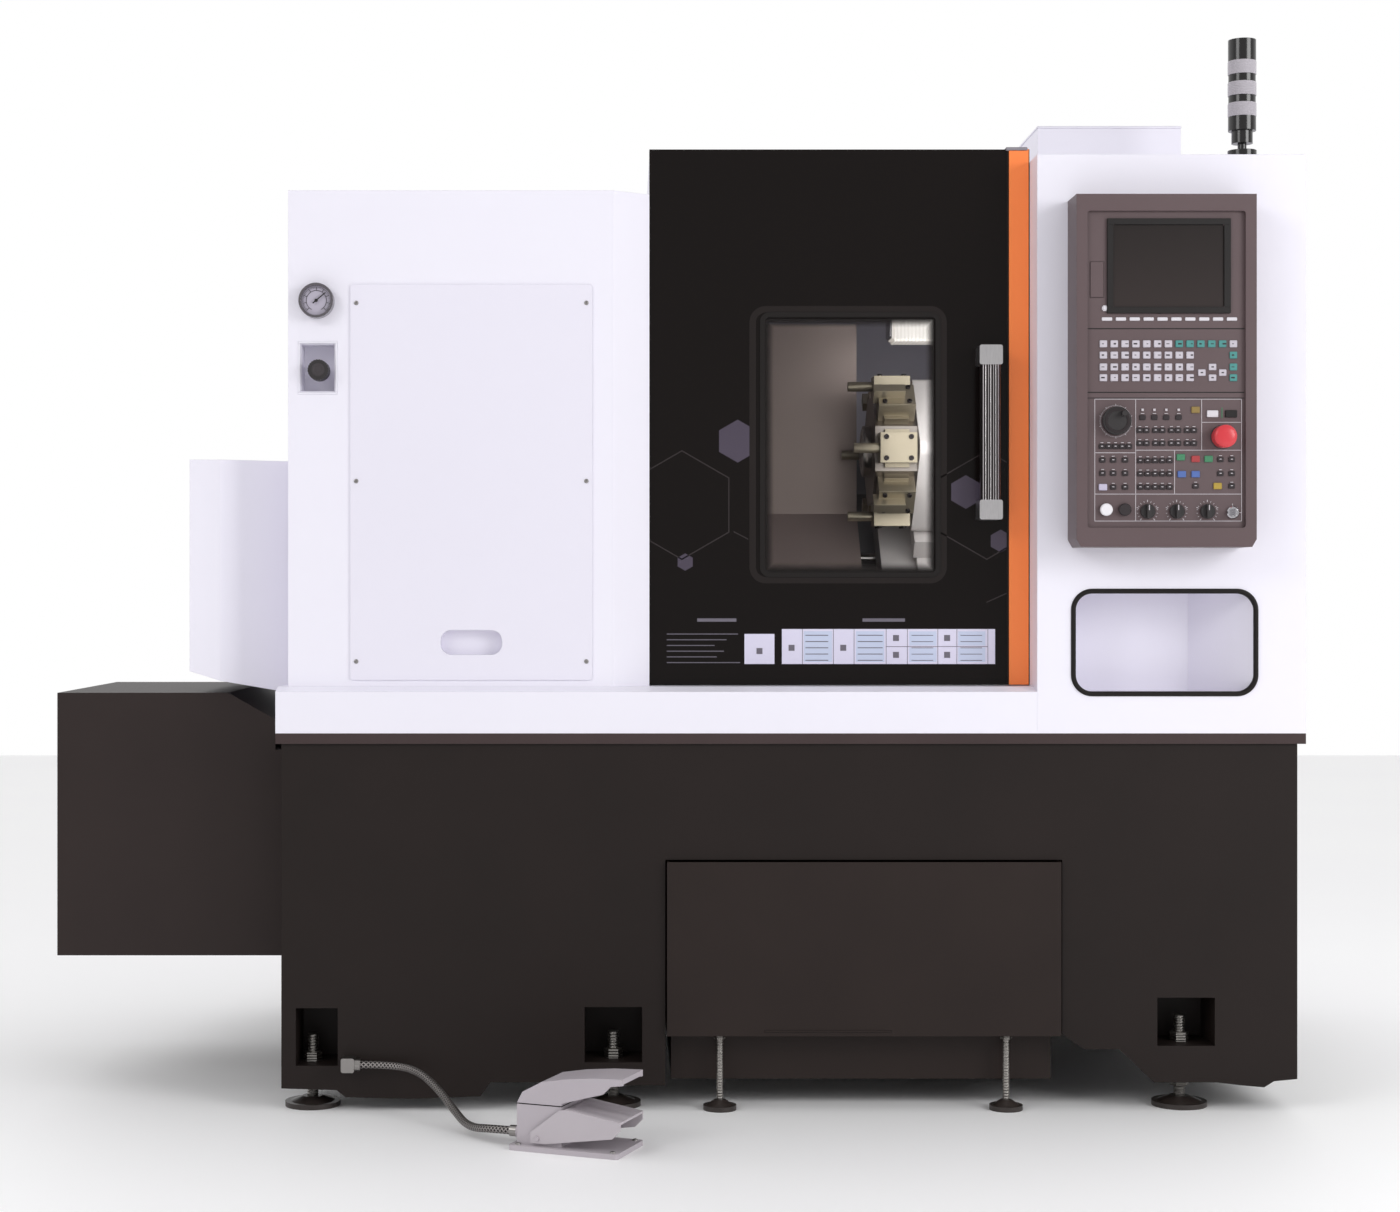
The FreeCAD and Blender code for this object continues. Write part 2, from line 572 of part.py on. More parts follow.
def build_chuck():
    """Chuck body with a through bore and three radial slots."""
    body = spindle_rod(NOSE, CHUCK_RADIUS, CHUCK_LENGTH).cut(
        spindle_rod(NOSE - 1, BAR_BORE, CHUCK_LENGTH + 2))
    face = NOSE + CHUCK_LENGTH
    for turn in (0, 120, 240):
        slot = block(face - 12 - GAP, face + 1, SPINDLE_Y - JAW_WIDTH / 2 + 6 - GAP,
                     SPINDLE_Y + JAW_WIDTH / 2 - 6 + GAP, SPINDLE_Z, SPINDLE_Z + CHUCK_RADIUS + 5)
        body = body.cut(about_spindle(slot, turn))
    return body


def belt_outline(grow, x0, x1):
    """Solid hull of the two pulleys, grown by one amount."""
    dy, dz = MOTOR_Y - SPINDLE_Y, MOTOR_Z - SPINDLE_Z
    r1, r2 = PULLEY_RADIUS + grow, MOTOR_PULLEY_RADIUS + grow
    span = math.hypot(dy, dz)
    line = math.atan2(dz, dy)
    lean = math.acos((r1 - r2) / span)
    corners = []
    for sign in (1, -1):
        angle = line + sign * lean
        near = (SPINDLE_Y + r1 * math.cos(angle), SPINDLE_Z + r1 * math.sin(angle))
        far = (MOTOR_Y + r2 * math.cos(angle), MOTOR_Z + r2 * math.sin(angle))
        corners += [near, far] if sign == 1 else [far, near]
    width = x1 - x0
    return join([side(corners, x0, x1), spindle_rod(x0, r1, width),
                 rod(x0, MOTOR_Y, MOTOR_Z, (1, 0, 0), r2, width)])


def build_belt():
    x0, x1 = PULLEY_LEFT + 3, PULLEY_LEFT + PULLEY_WIDTH - 3
    return belt_outline(7.0, x0, x1).cut(belt_outline(GAP, x0 - 1, x1 + 1))


def build_motor_pulley():
    """Motor pulley with the stub of shaft that it is keyed on."""
    wheel = rod(PULLEY_LEFT, MOTOR_Y, MOTOR_Z, (1, 0, 0), MOTOR_PULLEY_RADIUS, PULLEY_WIDTH)
    return wheel.fuse(rod(PULLEY_LEFT, MOTOR_Y, MOTOR_Z, (1, 0, 0), 18, PULLEY_WIDTH + 60))


def build_spindle_motor():
    """Square spindle motor on its two feet, bored for the pulley's shaft."""
    x0, x1 = PULLEY_LEFT + PULLEY_WIDTH + 14, -430.0
    body = rounded(x0, x1, MOTOR_Y - MOTOR_HALF, MOTOR_Y + MOTOR_HALF, MOTOR_Z - MOTOR_HALF,
                   MOTOR_Z + MOTOR_HALF, 18, "x")
    feet = [body]
    for x in (x0 + 20, x1 - 70):
        feet.append(block(x, x + 50, MOTOR_Y - MOTOR_HALF, MOTOR_Y + MOTOR_HALF,
                          BASE_TOP, MOTOR_Z - MOTOR_HALF + 20))
    shaft = rod(x0 - 1, MOTOR_Y, MOTOR_Z, (1, 0, 0), 18 + FIT, 60)
    return join(feet).cut(shaft)


add("slant_bed", build_bed())
add("headstock", build_headstock())
add("spindle_bearings", build_bearings())
add("spindle", build_spindle())
add("chuck_body", build_chuck())
for number, turn in enumerate((0, 120, 240)):
    add("chuck_jaw_%d" % (number + 1), about_spindle(build_jaw(), turn))
add("rotary_cylinder", spindle_rod(CYLINDER_LEFT, CYLINDER_RADIUS, 178).cut(
    spindle_rod(CYLINDER_LEFT - 1, BAR_BORE, 180)))
add("drive_belt", build_belt())
add("motor_pulley", build_motor_pulley())
add("spindle_motor", build_spindle_motor())
add("chamber_bulkhead", build_bulkhead())


# ---- saddle, cross slide, turret and way covers ----------------------------------------------
SADDLE_LEFT, SADDLE_RIGHT = 230.0, 560.0
SADDLE_LOW, SADDLE_HIGH = 6.0, 616.0        # up the slope
SADDLE_TOP = 100.0                          # off the slope
LIP = 19.0
CROSS_WAYS = ((300, 330), (490, 520))
CROSS_WAY_HEIGHT = 25.0
SLIDE_THICK = 45.0
TURRET_HALF = 110.0


def build_saddle():
    """Saddle: plate with lips round the bed's ways, a nut below and cross ways on top."""
    bottom = WAY_HEIGHT + GAP
    shapes = [block(SADDLE_LEFT, SADDLE_RIGHT, SADDLE_LOW, SADDLE_HIGH, bottom, SADDLE_TOP)]
    (_, lower_edge), (upper_edge, _) = WAYS
    shapes.append(block(SADDLE_LEFT, SADDLE_RIGHT, lower_edge + GAP, lower_edge + GAP + LIP, 8, 40))
    shapes.append(block(SADDLE_LEFT, SADDLE_RIGHT, upper_edge - GAP - LIP, upper_edge - GAP, 8, 40))
    shapes.append(block(SADDLE_LEFT + 130, SADDLE_LEFT + 210, SCREW_UP - 30, SCREW_UP + 30, 2, 40))
    for low, high in CROSS_WAYS:
        shapes.append(block(low, high, SADDLE_LOW, SADDLE_HIGH, SADDLE_TOP - 1,
                            SADDLE_TOP + CROSS_WAY_HEIGHT))
    saddle = join(shapes)
    saddle = saddle.cut(rod(SADDLE_LEFT, SCREW_UP, SCREW_OFF, (1, 0, 0), SCREW_RADIUS + FIT, 400))
    return on_slope(saddle)


def build_cross_slide():
    """Cross slide and turret housing, one casting on the saddle's ways."""
    bottom = SADDLE_TOP + CROSS_WAY_HEIGHT + GAP
    (left_outer, left_inner), (right_inner, right_outer) = CROSS_WAYS
    low, high = TURRET_REACH - 130, TURRET_REACH + 130
    x0, x1 = left_outer - 8, right_outer + GAP + 15
    top = bottom + SLIDE_THICK
    shapes = [block(x0, x1, low, high, bottom, top),
              block(left_inner + GAP, left_inner + GAP + 14, low, high, SADDLE_TOP + 5, bottom + 1),
              block(right_inner - GAP - 14, right_inner - GAP, low, high, SADDLE_TOP + 5, bottom + 1)]
    front_face = TURRET_LEFT + TURRET_WIDTH + GAP
    housing = rounded(front_face, 530, TURRET_REACH - TURRET_HALF, TURRET_REACH + TURRET_HALF,
                      top - 1, CENTRE_HEIGHT + TURRET_HALF, 22, "x")
    motor = rod(530, TURRET_REACH, CENTRE_HEIGHT, (1, 0, 0), 62, 110)
    slide = join(shapes + [housing, motor])
    hub = rod(front_face - 1, TURRET_REACH, CENTRE_HEIGHT, (1, 0, 0), 60 + FIT, 50)
    return on_slope(slide.cut(hub))


def station_spin(shape, number):
    turned = shape.copy()
    turned.rotate(V(0, TURRET_REACH, CENTRE_HEIGHT), V(1, 0, 0), 360.0 / STATIONS * number)
    return turned


DISC_FLAT = 108.0          # turret axis to a station's flat


def build_turret_disc():
    """Indexing disc: one flat for each station, a face boss and a hub in the housing."""
    corner = DISC_FLAT / math.cos(math.pi / STATIONS)
    points = []
    for step in range(STATIONS):
        angle = 2 * math.pi * (step + 0.5) / STATIONS
        points.append((TURRET_REACH + corner * math.cos(angle),
                       CENTRE_HEIGHT + corner * math.sin(angle)))
    disc = side(points, TURRET_LEFT, TURRET_LEFT + TURRET_WIDTH)
    boss = rod(TURRET_LEFT - 14, TURRET_REACH, CENTRE_HEIGHT, (1, 0, 0), 52, 15)
    hub = rod(TURRET_LEFT + TURRET_WIDTH - 1, TURRET_REACH, CENTRE_HEIGHT, (1, 0, 0), 60, 46)
    return on_slope(join([disc, boss, hub]))


def build_tool_holders():
    """A clamped tool block on each flat, turning tools and boring bars by turns."""
    pieces = []
    for number in range(STATIONS):
        base = CENTRE_HEIGHT + DISC_FLAT
        x0, x1 = TURRET_LEFT + 6, TURRET_LEFT + TURRET_WIDTH - 6
        holder = block(x0, x1, TURRET_REACH - 30, TURRET_REACH + 30, base, base + 44)
        if number % 2:
            tool = rod(TURRET_LEFT - 45, TURRET_REACH, base + 24, (1, 0, 0), 10, 90)
        else:
            tool = block(x0 - 10, x1 - 20, TURRET_REACH - 10, TURRET_REACH + 10, base + 30, base + 62)
        gibs = block(x0 + 12, x1 - 12, TURRET_REACH - 38, TURRET_REACH + 38, base, base + 14)
        pieces.append(station_spin(join([holder, tool, gibs]), number))
    return on_slope(group(pieces))


COVER_OFF, COVER_STEP, COVER_SHEET = 94.0, 5.0, 2.0
COVER_WALL_Y, COVER_TOP = 730.0, 1500.0
TRAVEL_LEFT, TRAVEL_RIGHT = 125.0, 145.0      # the saddle's travel
BRACKET_X = TURRET_LEFT - 14


def cover_line(off):
    """Outline points of a cover surface this far off the slope: low edge, bend, top edge."""
    bend_y = COVER_WALL_Y - (off - COVER_OFF)
    bend_z = SLOPE_Z - SLOPE_Y + bend_y + off / math.cos(SLANT)
    return [slope_point(SADDLE_LOW, off), (bend_y, bend_z), (bend_y, COVER_TOP)]


def cover_sheet(off, x0, x1):
    under, over = cover_line(off), cover_line(off + COVER_SHEET)
    return side(under + over[::-1], x0, x1)


def build_fixed_cover():
    right = BRACKET_X - TRAVEL_LEFT - 6
    return cover_sheet(COVER_OFF, HEADSTOCK_RIGHT, right)


def build_moving_cover():
    """Way cover carried by the saddle on a folded bracket."""
    left = BRACKET_X - TRAVEL_LEFT - 6 - 10 - TRAVEL_RIGHT
    top = COVER_OFF + COVER_STEP
    sheet = cover_sheet(top, left, BRACKET_X + SHEET)
    web = on_slope(block(BRACKET_X, BRACKET_X + SHEET, 10, 130, 60, top + 1))
    tongue = on_slope(block(BRACKET_X, SADDLE_LEFT, 10, 130, 60, 63))
    return join([sheet, web, tongue])


def build_screw():
    """Ball screw of the saddle, between its two bearings."""
    return on_slope(rod(SCREW_LEFT, SCREW_UP, SCREW_OFF, (1, 0, 0), SCREW_RADIUS,
                        BED_RIGHT + 20 - SCREW_LEFT))


def build_saddle_motor():
    """Square servo motor: flange on the bed's end, body and the bore for the screw."""
    x, y, z, half = BED_RIGHT, SCREW_UP, SCREW_OFF, 60
    flange = block(x, x + 14, y - half, y + half, z - half, z + half)
    body = rounded(x + 13, x + 150, y - half + 8, y + half - 8, z - half + 8, z + half - 8, 10, "x")
    shaft = rod(x - 1, y, z, (1, 0, 0), SCREW_RADIUS + FIT, 24)
    return on_slope(join([flange, body]).cut(shaft))


add("saddle", build_saddle())
add("turret_slide", build_cross_slide())
add("turret_disc", build_turret_disc())
add("tool_holders", build_tool_holders())
add("way_cover_fixed", build_fixed_cover())
add("way_cover_moving", build_moving_cover())
add("saddle_screw", build_screw())
add("saddle_motor", build_saddle_motor())


# ---- covers and boxes outside -------------------------------------------------------------
def build_side_housing():
    """Black sheet housing on the left of the base, its inner top corner cut off."""
    reach, y0, y1, low, high = HOUSING
    left = BODY_LEFT - reach
    right = BASE_LEFT - GAP / 3
    outer = [(left, low), (left, high), (BODY_LEFT - 109, high), (BODY_LEFT - 21, high - 50),
             (BODY_LEFT - 21, BASE_TOP - 20), (right, BASE_TOP - 20), (right, low)]
    inner = [(left + SHEET, low + SHEET), (left + SHEET, high - SHEET),
             (BODY_LEFT - 110, high - SHEET), (BODY_LEFT - 24, high - 52),
             (BODY_LEFT - 24, BASE_TOP - 23), (right - SHEET, BASE_TOP - 23),
             (right - SHEET, low + SHEET)]
    return front(outer, y0, y1).cut(front(inner, y0 + SHEET, y1 - SHEET))


def build_guard():
    """White guard over the rotary cylinder: angled front, cut off below, a hole for bar stock."""
    reach, y0, y1, low, high = GUARD
    left = BODY_LEFT - reach
    right = LEFT_LEFT - GAP / 3
    outer = [(left, y0), (left + 56, y0), (right, y0 + 70), (right, y1), (left, y1)]
    inner = [(left + SHEET, y0 + SHEET), (left + 55, y0 + SHEET), (right + 1, y0 + 74),
             (right + 1, y1 - SHEET), (left + SHEET, y1 - SHEET)]
    shell = plan(outer, low - 20, high).cut(plan(inner, low - 21, high - SHEET))
    slope = [(left - 1, low + 52), (left + 56, low + 34), (right + 1, low + 6), (right + 1, low - 30),
             (left - 1, low - 30)]
    ledge = block(BODY_LEFT - GAP, right + 1, y0 - 1, y1 + 1, low - 30, LEDGE + GAP)
    bar_hole = spindle_rod(left - 1, BAR_BORE + 14, SHEET + 2)
    return cut(shell, [front(slope, y0 - 1, y1 + 1), ledge, bar_hole])


def build_roof_box():
    """Pale box on the roof of the right cabinet."""
    left, right, y0, y1, height = ROOF_BOX
    z0 = RIGHT_TOP
    box = block(left, right, y0, y1, z0, z0 + height)
    return box.cut(block(left + SHEET, right - SHEET, y0 + SHEET, y1 - SHEET, z0 + SHEET,
                         z0 + height - SHEET))


def build_rear_cabinet():
    """Electrical cabinet on the back, open to its door, with drive units inside."""
    left, right, low, high = REAR
    y0, y1 = BODY_DEPTH, BODY_DEPTH + REAR_DEPTH
    shell = block(left, right, y0, y1, low, high)
    shell = shell.cut(block(left + SHEET, right - SHEET, y0 + SHEET, y1 + 1, low + SHEET,
                            high - SHEET))
    units = []
    for number in range(5):
        x = left + 70 + 115 * number
        units.append(block(x, x + 90, y0 + SHEET - 1, y0 + 110, high - 440, high - 100))
    return join([shell] + units)


def build_rear_door():
    left, right, low, high = REAR
    y0 = BODY_DEPTH + REAR_DEPTH + GAP
    pan = block(left, right, y0, y0 + 20, low, high)
    pan = pan.cut(block(left + SHEET, right - SHEET, y0 - 1, y0 + 20 - SHEET, low + SHEET, high - SHEET))
    latch = rounded(right - 70, right - 40, y0 + 19, y0 + 34, 1120, 1240, 8)
    return join([pan, latch])


add("side_housing", build_side_housing())
add("spindle_guard", build_guard())
add("roof_box", build_roof_box())
add("rear_cabinet", build_rear_cabinet())
add("rear_cabinet_door", build_rear_door())


# ---- control panel ----------------------------------------------------------------------
FASCIA_IN = 19.5           # frame width round the fascia, left and right
FASCIA_BELOW = 34.0
FASCIA_Y = -PANEL_DEPTH + 7
HANDWHEEL = (70.8, 223.0, 25.0)      # from the panel's lower left corner; radius
STOP = (259.3, 195.0, 20.0)
KNOBS = (("feed_knob", 127.0, 63.0), ("spindle_knob", 178.7, 63.0), ("rapid_knob", 233.0, 63.0))
KEY_SWITCH = (277.7, 61.0, 11.0)
START = (53.0, 66.0, 11.0)
HOLD = (86.0, 66.0, 11.0)


def panel_place(right_by, up_by):
    return PANEL[0] + right_by, PANEL[2] + up_by


def build_panel_housing():
    """Cast housing of the control panel, open at the front for the fascia."""
    left, right, low, high = PANEL
    y0 = -PANEL_DEPTH
    outline = [(left + 8, low), (right - 8, low), (right, low + 14), (right, high), (left, high),
               (left, low + 14)]
    body = front(outline, y0, 0)
    body = body.cut(block(left + 10, right - 10, y0 + 20, 1, low + 20, high - 10))
    mouth = rounded(left + FASCIA_IN, right - FASCIA_IN, y0 - 1, y0 + 21, low + FASCIA_BELOW,
                    high - FASCIA_BELOW + 4, 5)
    return body.cut(mouth)


def build_fascia():
    """Fascia plate with the screen's frame and keys raised on it."""
    left, right, low, high = PANEL
    plate = rounded(left + FASCIA_IN, right - FASCIA_IN, FASCIA_Y, -PANEL_DEPTH + 20,
                    low + FASCIA_BELOW, high - FASCIA_BELOW + 4, 5)
    holes = []
    for x, z, radius in (HANDWHEEL, STOP, KEY_SWITCH, START, HOLD):
        px, pz = panel_place(x, z)
        holes.append(rod(px, FASCIA_Y - 1, pz, (0, 1, 0), radius * 0.55 + FIT, 30))
    for _, x, z in KNOBS:
        px, pz = panel_place(x, z)
        holes.append(rod(px, FASCIA_Y - 1, pz, (0, 1, 0), 3 + FIT, 30))
    frame_left, frame_low = panel_place(55, 414)
    frame = rounded(frame_left, frame_left + 219, FASCIA_Y - 4, FASCIA_Y + 1, frame_low,
                    frame_low + 168, 4)
    frame = frame.cut(rounded(frame_left + 10.5, frame_left + 207, FASCIA_Y - 5, FASCIA_Y - 1,
                              frame_low + 11, frame_low + 157, 2))
    return join([cut(plate, holes), frame])


STOP_TRAVEL, BUTTON_TRAVEL = 4.0, 2.5


def turned_knob(right_by, up_by, radius, reach, stem, lift=1.0):
    """A round head standing off the fascia by its lift, with its stem through the plate."""
    x, z = panel_place(right_by, up_by)
    face = FASCIA_Y - reach
    head = rod(x, face, z, (0, 1, 0), radius, reach - lift)
    rim = [edge for edge in head.Edges if edge.CenterOfMass.y < face + 0.1]
    head = head.makeChamfer(1.5, rim)
    return join([head, rod(x, FASCIA_Y - lift - 1, z, (0, 1, 0), stem, lift + 15)])


def build_handwheel():
    """Pulse handwheel: rim, hub and a turning grip near the rim."""
    x, z = panel_place(HANDWHEEL[0], HANDWHEEL[1])
    wheel = turned_knob(*HANDWHEEL, 16, HANDWHEEL[2] * 0.55)
    grip = rod(x + 10, FASCIA_Y - 30, z + 12, (0, 1, 0), 4.5, 15)
    return join([wheel, grip])


def build_selector(right_by, up_by):
    """Selector knob with a pointer bar across it."""
    x, z = panel_place(right_by, up_by)
    knob = turned_knob(right_by, up_by, 13, 8, 3)
    bar = rounded(x - 3.5, x + 3.5, FASCIA_Y - 16, FASCIA_Y - 7, z - 12, z + 12, 2)
    return join([knob, bar])


def build_key_switch():
    x, z = panel_place(KEY_SWITCH[0], KEY_SWITCH[1])
    barrel = turned_knob(*KEY_SWITCH, 6, KEY_SWITCH[2] * 0.55)
    key = rounded(x - 1.2, x + 1.2, FASCIA_Y - 26, FASCIA_Y - 5, z - 6, z + 6, 1, "x")
    return join([barrel, key])


add("panel_housing", build_panel_housing())
add("panel_fascia", build_fascia())
add("handwheel", build_handwheel())
add("stop_button", turned_knob(*STOP, 28, STOP[2] * 0.55, STOP_TRAVEL + 0.5))
for name, x, z in KNOBS:
    add(name, build_selector(x, z))
add("key_switch", build_key_switch())
add("start_button", turned_knob(*START, 9, START[2] * 0.55, BUTTON_TRAVEL + 0.5))
add("hold_button", turned_knob(*HOLD, 9, HOLD[2] * 0.55, BUTTON_TRAVEL + 0.5))


# ---- signal tower, gauge and regulator ------------------------------------------------------
def build_tower():
    """Signal tower: flange, neck, body and a stack of three lenses under a cap."""
    x, y, z = TOWER_X, TOWER_Y, RIGHT_TOP
    r = TOWER_RADIUS
    pieces = [(r + 1, 14), (8, 13), (r - 6, 23), (r, 25.5), (r, 25.5), (r - 0.6, 12), (r, 26),
              (r - 0.6, 13), (r, 25.5), (r, 38)]
    shapes, low = [], z
    for radius, height in pieces:
        shapes.append(rod(x, y, low, (0, 0, 1), radius, height))
        low += height
    return join(shapes)


def build_gauge():
    """Gauge case with its bezel, open at the front over the dial."""
    y0 = LEDGE_SLOPE
    case = rod(GAUGE_X, y0 - 22, GAUGE_Z, (0, 1, 0), 31.5, 22)
    dish = rod(GAUGE_X, y0 - 23, GAUGE_Z, (0, 1, 0), 27, 10)
    stem = rod(GAUGE_X, y0 - 1, GAUGE_Z, (0, 1, 0), 8, 30)
    post = rod(GAUGE_X, y0 - 14, GAUGE_Z, (0, 1, 0), 1.5, 5)
    bore = rod(GAUGE_X, y0 - 20, GAUGE_Z, (0, 1, 0), 1, 12)
    return join([join([case, stem]).cut(dish), post]).cut(bore)


def build_needle():
    y0 = LEDGE_SLOPE - 18
    hub = rod(GAUGE_X, y0, GAUGE_Z, (0, 1, 0), 3, 2)
    pointer = block(GAUGE_X - 1, GAUGE_X + 1, y0, y0 + 1.2, GAUGE_Z - 8, GAUGE_Z + 22)
    needle = join([hub, pointer, rod(GAUGE_X, y0, GAUGE_Z, (0, 1, 0), 1 - FIT, 7)])
    needle.rotate(V(GAUGE_X, y0, GAUGE_Z), V(0, 1, 0), 50)
    return needle


def build_regulator_mount():
    """Regulator body held in the cabinet's recess: a box with the knob's neck."""
    x0, y0 = LEFT_LEFT + 22, LEDGE_SLOPE
    x1, low, high = x0 + 64, 1301, 1390
    box = block(x0 + GAP / 3, x1 - GAP / 3, y0 + 1, y0 + 46, low + GAP / 3, high - GAP / 3)
    box = box.cut(block(x0 + 2, x1 - 2, y0, y0 + 44, low + 2, high - 2))
    x = x0 + 35
    neck = rod(x, y0 + 6, REGULATOR_Z, (0, 1, 0), 14, 39)
    return join([box, neck]).cut(rod(x, y0, REGULATOR_Z, (0, 1, 0), 5 + FIT, 30))


def build_regulator_knob():
    """Knurled cap with its spindle."""
    x, y0 = LEFT_LEFT + 57, LEDGE_SLOPE
    cap = rod(x, y0 - 22, REGULATOR_Z, (0, 1, 0), 19, 28 - GAP)
    flutes = []
    for step in range(24):
        angle = math.radians(15 * step)
        flutes.append(rod(x + 19.6 * math.cos(angle), y0 - 23, REGULATOR_Z + 19.6 * math.sin(angle),
                          (0, 1, 0), 1.5, 26))
    return join([cut(cap, flutes), rod(x, y0, REGULATOR_Z, (0, 1, 0), 5, 26)])


add("signal_tower", build_tower())
add("pressure_gauge", build_gauge())
add("gauge_needle", build_needle())
add("regulator_body", build_regulator_mount())
add("regulator_knob", build_regulator_knob())


# ---- foot pedal and its hose ----------------------------------------------------------------
PEDAL_PIVOT = (50.0, 22.0)
PIVOT_RADIUS = 4.0


def pedal_turned(shape):
    turned = shape.copy()
    turned.rotate(V(0, 0, 0), V(0, 0, 1), PEDAL_TURN_DEG)
    turned.translate(V(PEDAL_CORNER[0], PEDAL_CORNER[1], 0))
    return turned


def build_pedal():
    """Cast pedal: base plate, switch box and the hood over the treadle."""
    half = PEDAL_WIDTH / 2
    plate = rounded(0, PEDAL_LENGTH, -half, half, 0, 9, 6, "z")
    outline = [(10, 8), (10, 78), (20, 97), (55, 116), (100, 124), (150, 129),
               (PEDAL_LENGTH + 4, 131), (PEDAL_LENGTH + 4, 120), (180, 117), (166, 103),
               (130, 93), (92, 82), (92, 8)]
    hood = front(outline, -46, 46)
    hollow = front([(95, 60), (95, 114), (150, 120), (PEDAL_LENGTH + 6, 122),
                    (PEDAL_LENGTH + 6, 60)], -40, 40)
    pin = rod(PEDAL_PIVOT[0], -56, PEDAL_PIVOT[1], (0, 1, 0), PIVOT_RADIUS, 112)
    gland = rod(-0.0, -20, 24, (1, 0, 0), 11, 12)
    return pedal_turned(join([plate, hood.cut(hollow), pin, gland]))


def build_treadle():
    """Folded treadle: tread plate and two cheeks that hang on the pivot pin."""
    outline = [(38, 14), (38, 32), (90, 72), (104, 74), (PEDAL_LENGTH + 2, 60),
               (PEDAL_LENGTH + 2, 46), (186, 32), (66, 14)]
    inside = [(30, 0), (30, 31), (90, 68), (104, 70), (PEDAL_LENGTH + 3, 56),
              (PEDAL_LENGTH + 3, 0)]
    shell = front(outline, -53, 53).cut(front(inside, -49, 49))
    shell = shell.cut(block(30, 97, -49, 49, 0, 90))
    eye = rod(PEDAL_PIVOT[0], -60, PEDAL_PIVOT[1], (0, 1, 0), PIVOT_RADIUS + FIT, 120)
    return pedal_turned(shell.cut(eye))


def build_gland():
    """Elbow gland on the base front, its outlet along the hose's first run."""
    x, y, z = HOSE_ROUTE[0]
    body = rounded(x - 34, x - 10, y - 12, BASE_SETBACK, z - 13, z + 13, 4)
    outlet = rod(x - 11, y, z, (1, 0, 0), 10.5, 11)
    return join([body, outlet])


def tangent_route(points):
    """Straight runs joined by tangent arcs; returns the path wire and the smallest radius."""
    route = [V(*p) for p in points]
    edges, start, smallest = [], route[0], 1e9
    for number in range(1, len(route) - 1):
        before, here, after = route[number - 1:number + 2]
        back, ahead = (before - here), (after - here)
        turn = math.pi - back.getAngle(ahead)
        setback = 0.45 * min(back.Length, ahead.Length)
        radius = setback / math.tan(turn / 2)
        smallest = min(smallest, radius)
        print("hose bend %d: radius %.0f mm, turn %.0f degrees" % (number, radius, math.degrees(turn)))
        back.normalize()
        ahead.normalize()
        enter, leave = here + back * setback, here + ahead * setback
        bisector = (back + ahead)
        bisector.normalize()
        centre = here + bisector * (radius / math.cos(turn / 2))
        middle = centre - bisector * radius
        edges.append(Part.LineSegment(start, enter).toShape())
        edges.append(Part.Arc(enter, middle, leave).toShape())
        start = leave
    edges.append(Part.LineSegment(start, route[-1]).toShape())
    return Part.Wire(edges)


def build_hose():
    path = tangent_route(HOSE_ROUTE)
    first = V(*HOSE_ROUTE[1]) - V(*HOSE_ROUTE[0])
    ring = Part.Wire(Part.makeCircle(HOSE_RADIUS, V(*HOSE_ROUTE[0]), first))
    tube = path.makePipeShell([ring], True, False, 2)
    section = math.pi * HOSE_RADIUS ** 2
    print("hose length %.1f mm, volume ratio %.4f" % (path.Length, tube.Volume / section / path.Length))
    return tube


add("pedal_body", build_pedal())
add("pedal_treadle", build_treadle())
add("hose_gland", build_gland())
add("pedal_hose", build_hose())


# ---- move to the bottom centre of the whole and write -------------------------------------------
def write_all():
    bounds = FreeCAD.BoundBox()
    for name, shape in PARTS.items():
        if name != "pedal_hose":
            bounds.add(shape.BoundBox)
    shift = V(-(bounds.XMin + bounds.XMax) / 2, -(bounds.YMin + bounds.YMax) / 2, 0)
    print("nodes", len(PARTS), "shift %.3f %.3f" % (shift.x, shift.y), "low", bounds.ZMin,
          "size %.1f %.1f %.1f" % (bounds.XLength, bounds.YLength, bounds.ZLength))
    for name, shape in PARTS.items():
        placed = shape.copy()
        placed.translate(shift)
        placed.exportStep("parts/%s.step" % name)


write_all()
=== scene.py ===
import math

import bmesh
import bpy
from mathutils import Matrix, Vector


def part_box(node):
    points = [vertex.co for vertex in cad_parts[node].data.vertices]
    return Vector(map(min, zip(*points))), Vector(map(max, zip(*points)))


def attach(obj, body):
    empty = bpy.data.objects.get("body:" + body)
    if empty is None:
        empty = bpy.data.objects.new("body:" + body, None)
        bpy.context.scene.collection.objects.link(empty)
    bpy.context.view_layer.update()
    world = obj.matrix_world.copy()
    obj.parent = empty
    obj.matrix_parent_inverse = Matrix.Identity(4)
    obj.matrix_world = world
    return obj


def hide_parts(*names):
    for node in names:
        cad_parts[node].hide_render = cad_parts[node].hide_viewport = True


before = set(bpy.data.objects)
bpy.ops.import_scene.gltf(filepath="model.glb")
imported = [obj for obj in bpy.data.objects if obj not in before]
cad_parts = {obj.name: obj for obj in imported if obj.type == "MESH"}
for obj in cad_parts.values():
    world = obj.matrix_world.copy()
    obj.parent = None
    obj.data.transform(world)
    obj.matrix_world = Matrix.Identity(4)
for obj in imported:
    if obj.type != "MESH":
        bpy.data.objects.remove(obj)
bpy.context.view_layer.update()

# ---- Camera -------------------------------------------------------------------------------
# A camera at chest height looks straight along the machine's depth, far enough back that the
# front stays square. The lens is shifted so that the whole width fits.
camera_data = bpy.data.cameras.new("camera")
camera_data.lens = 62.7
camera_data.sensor_width = 36.0
camera_data.shift_x = 0.057
camera_data.shift_y = -0.0114
camera = bpy.data.objects.new("camera", camera_data)
camera.location = (-0.0936, -4.881, 0.9417)
camera.rotation_euler = (math.radians(90), 0, 0)
bpy.context.scene.collection.objects.link(camera)
bpy.context.scene.camera = camera


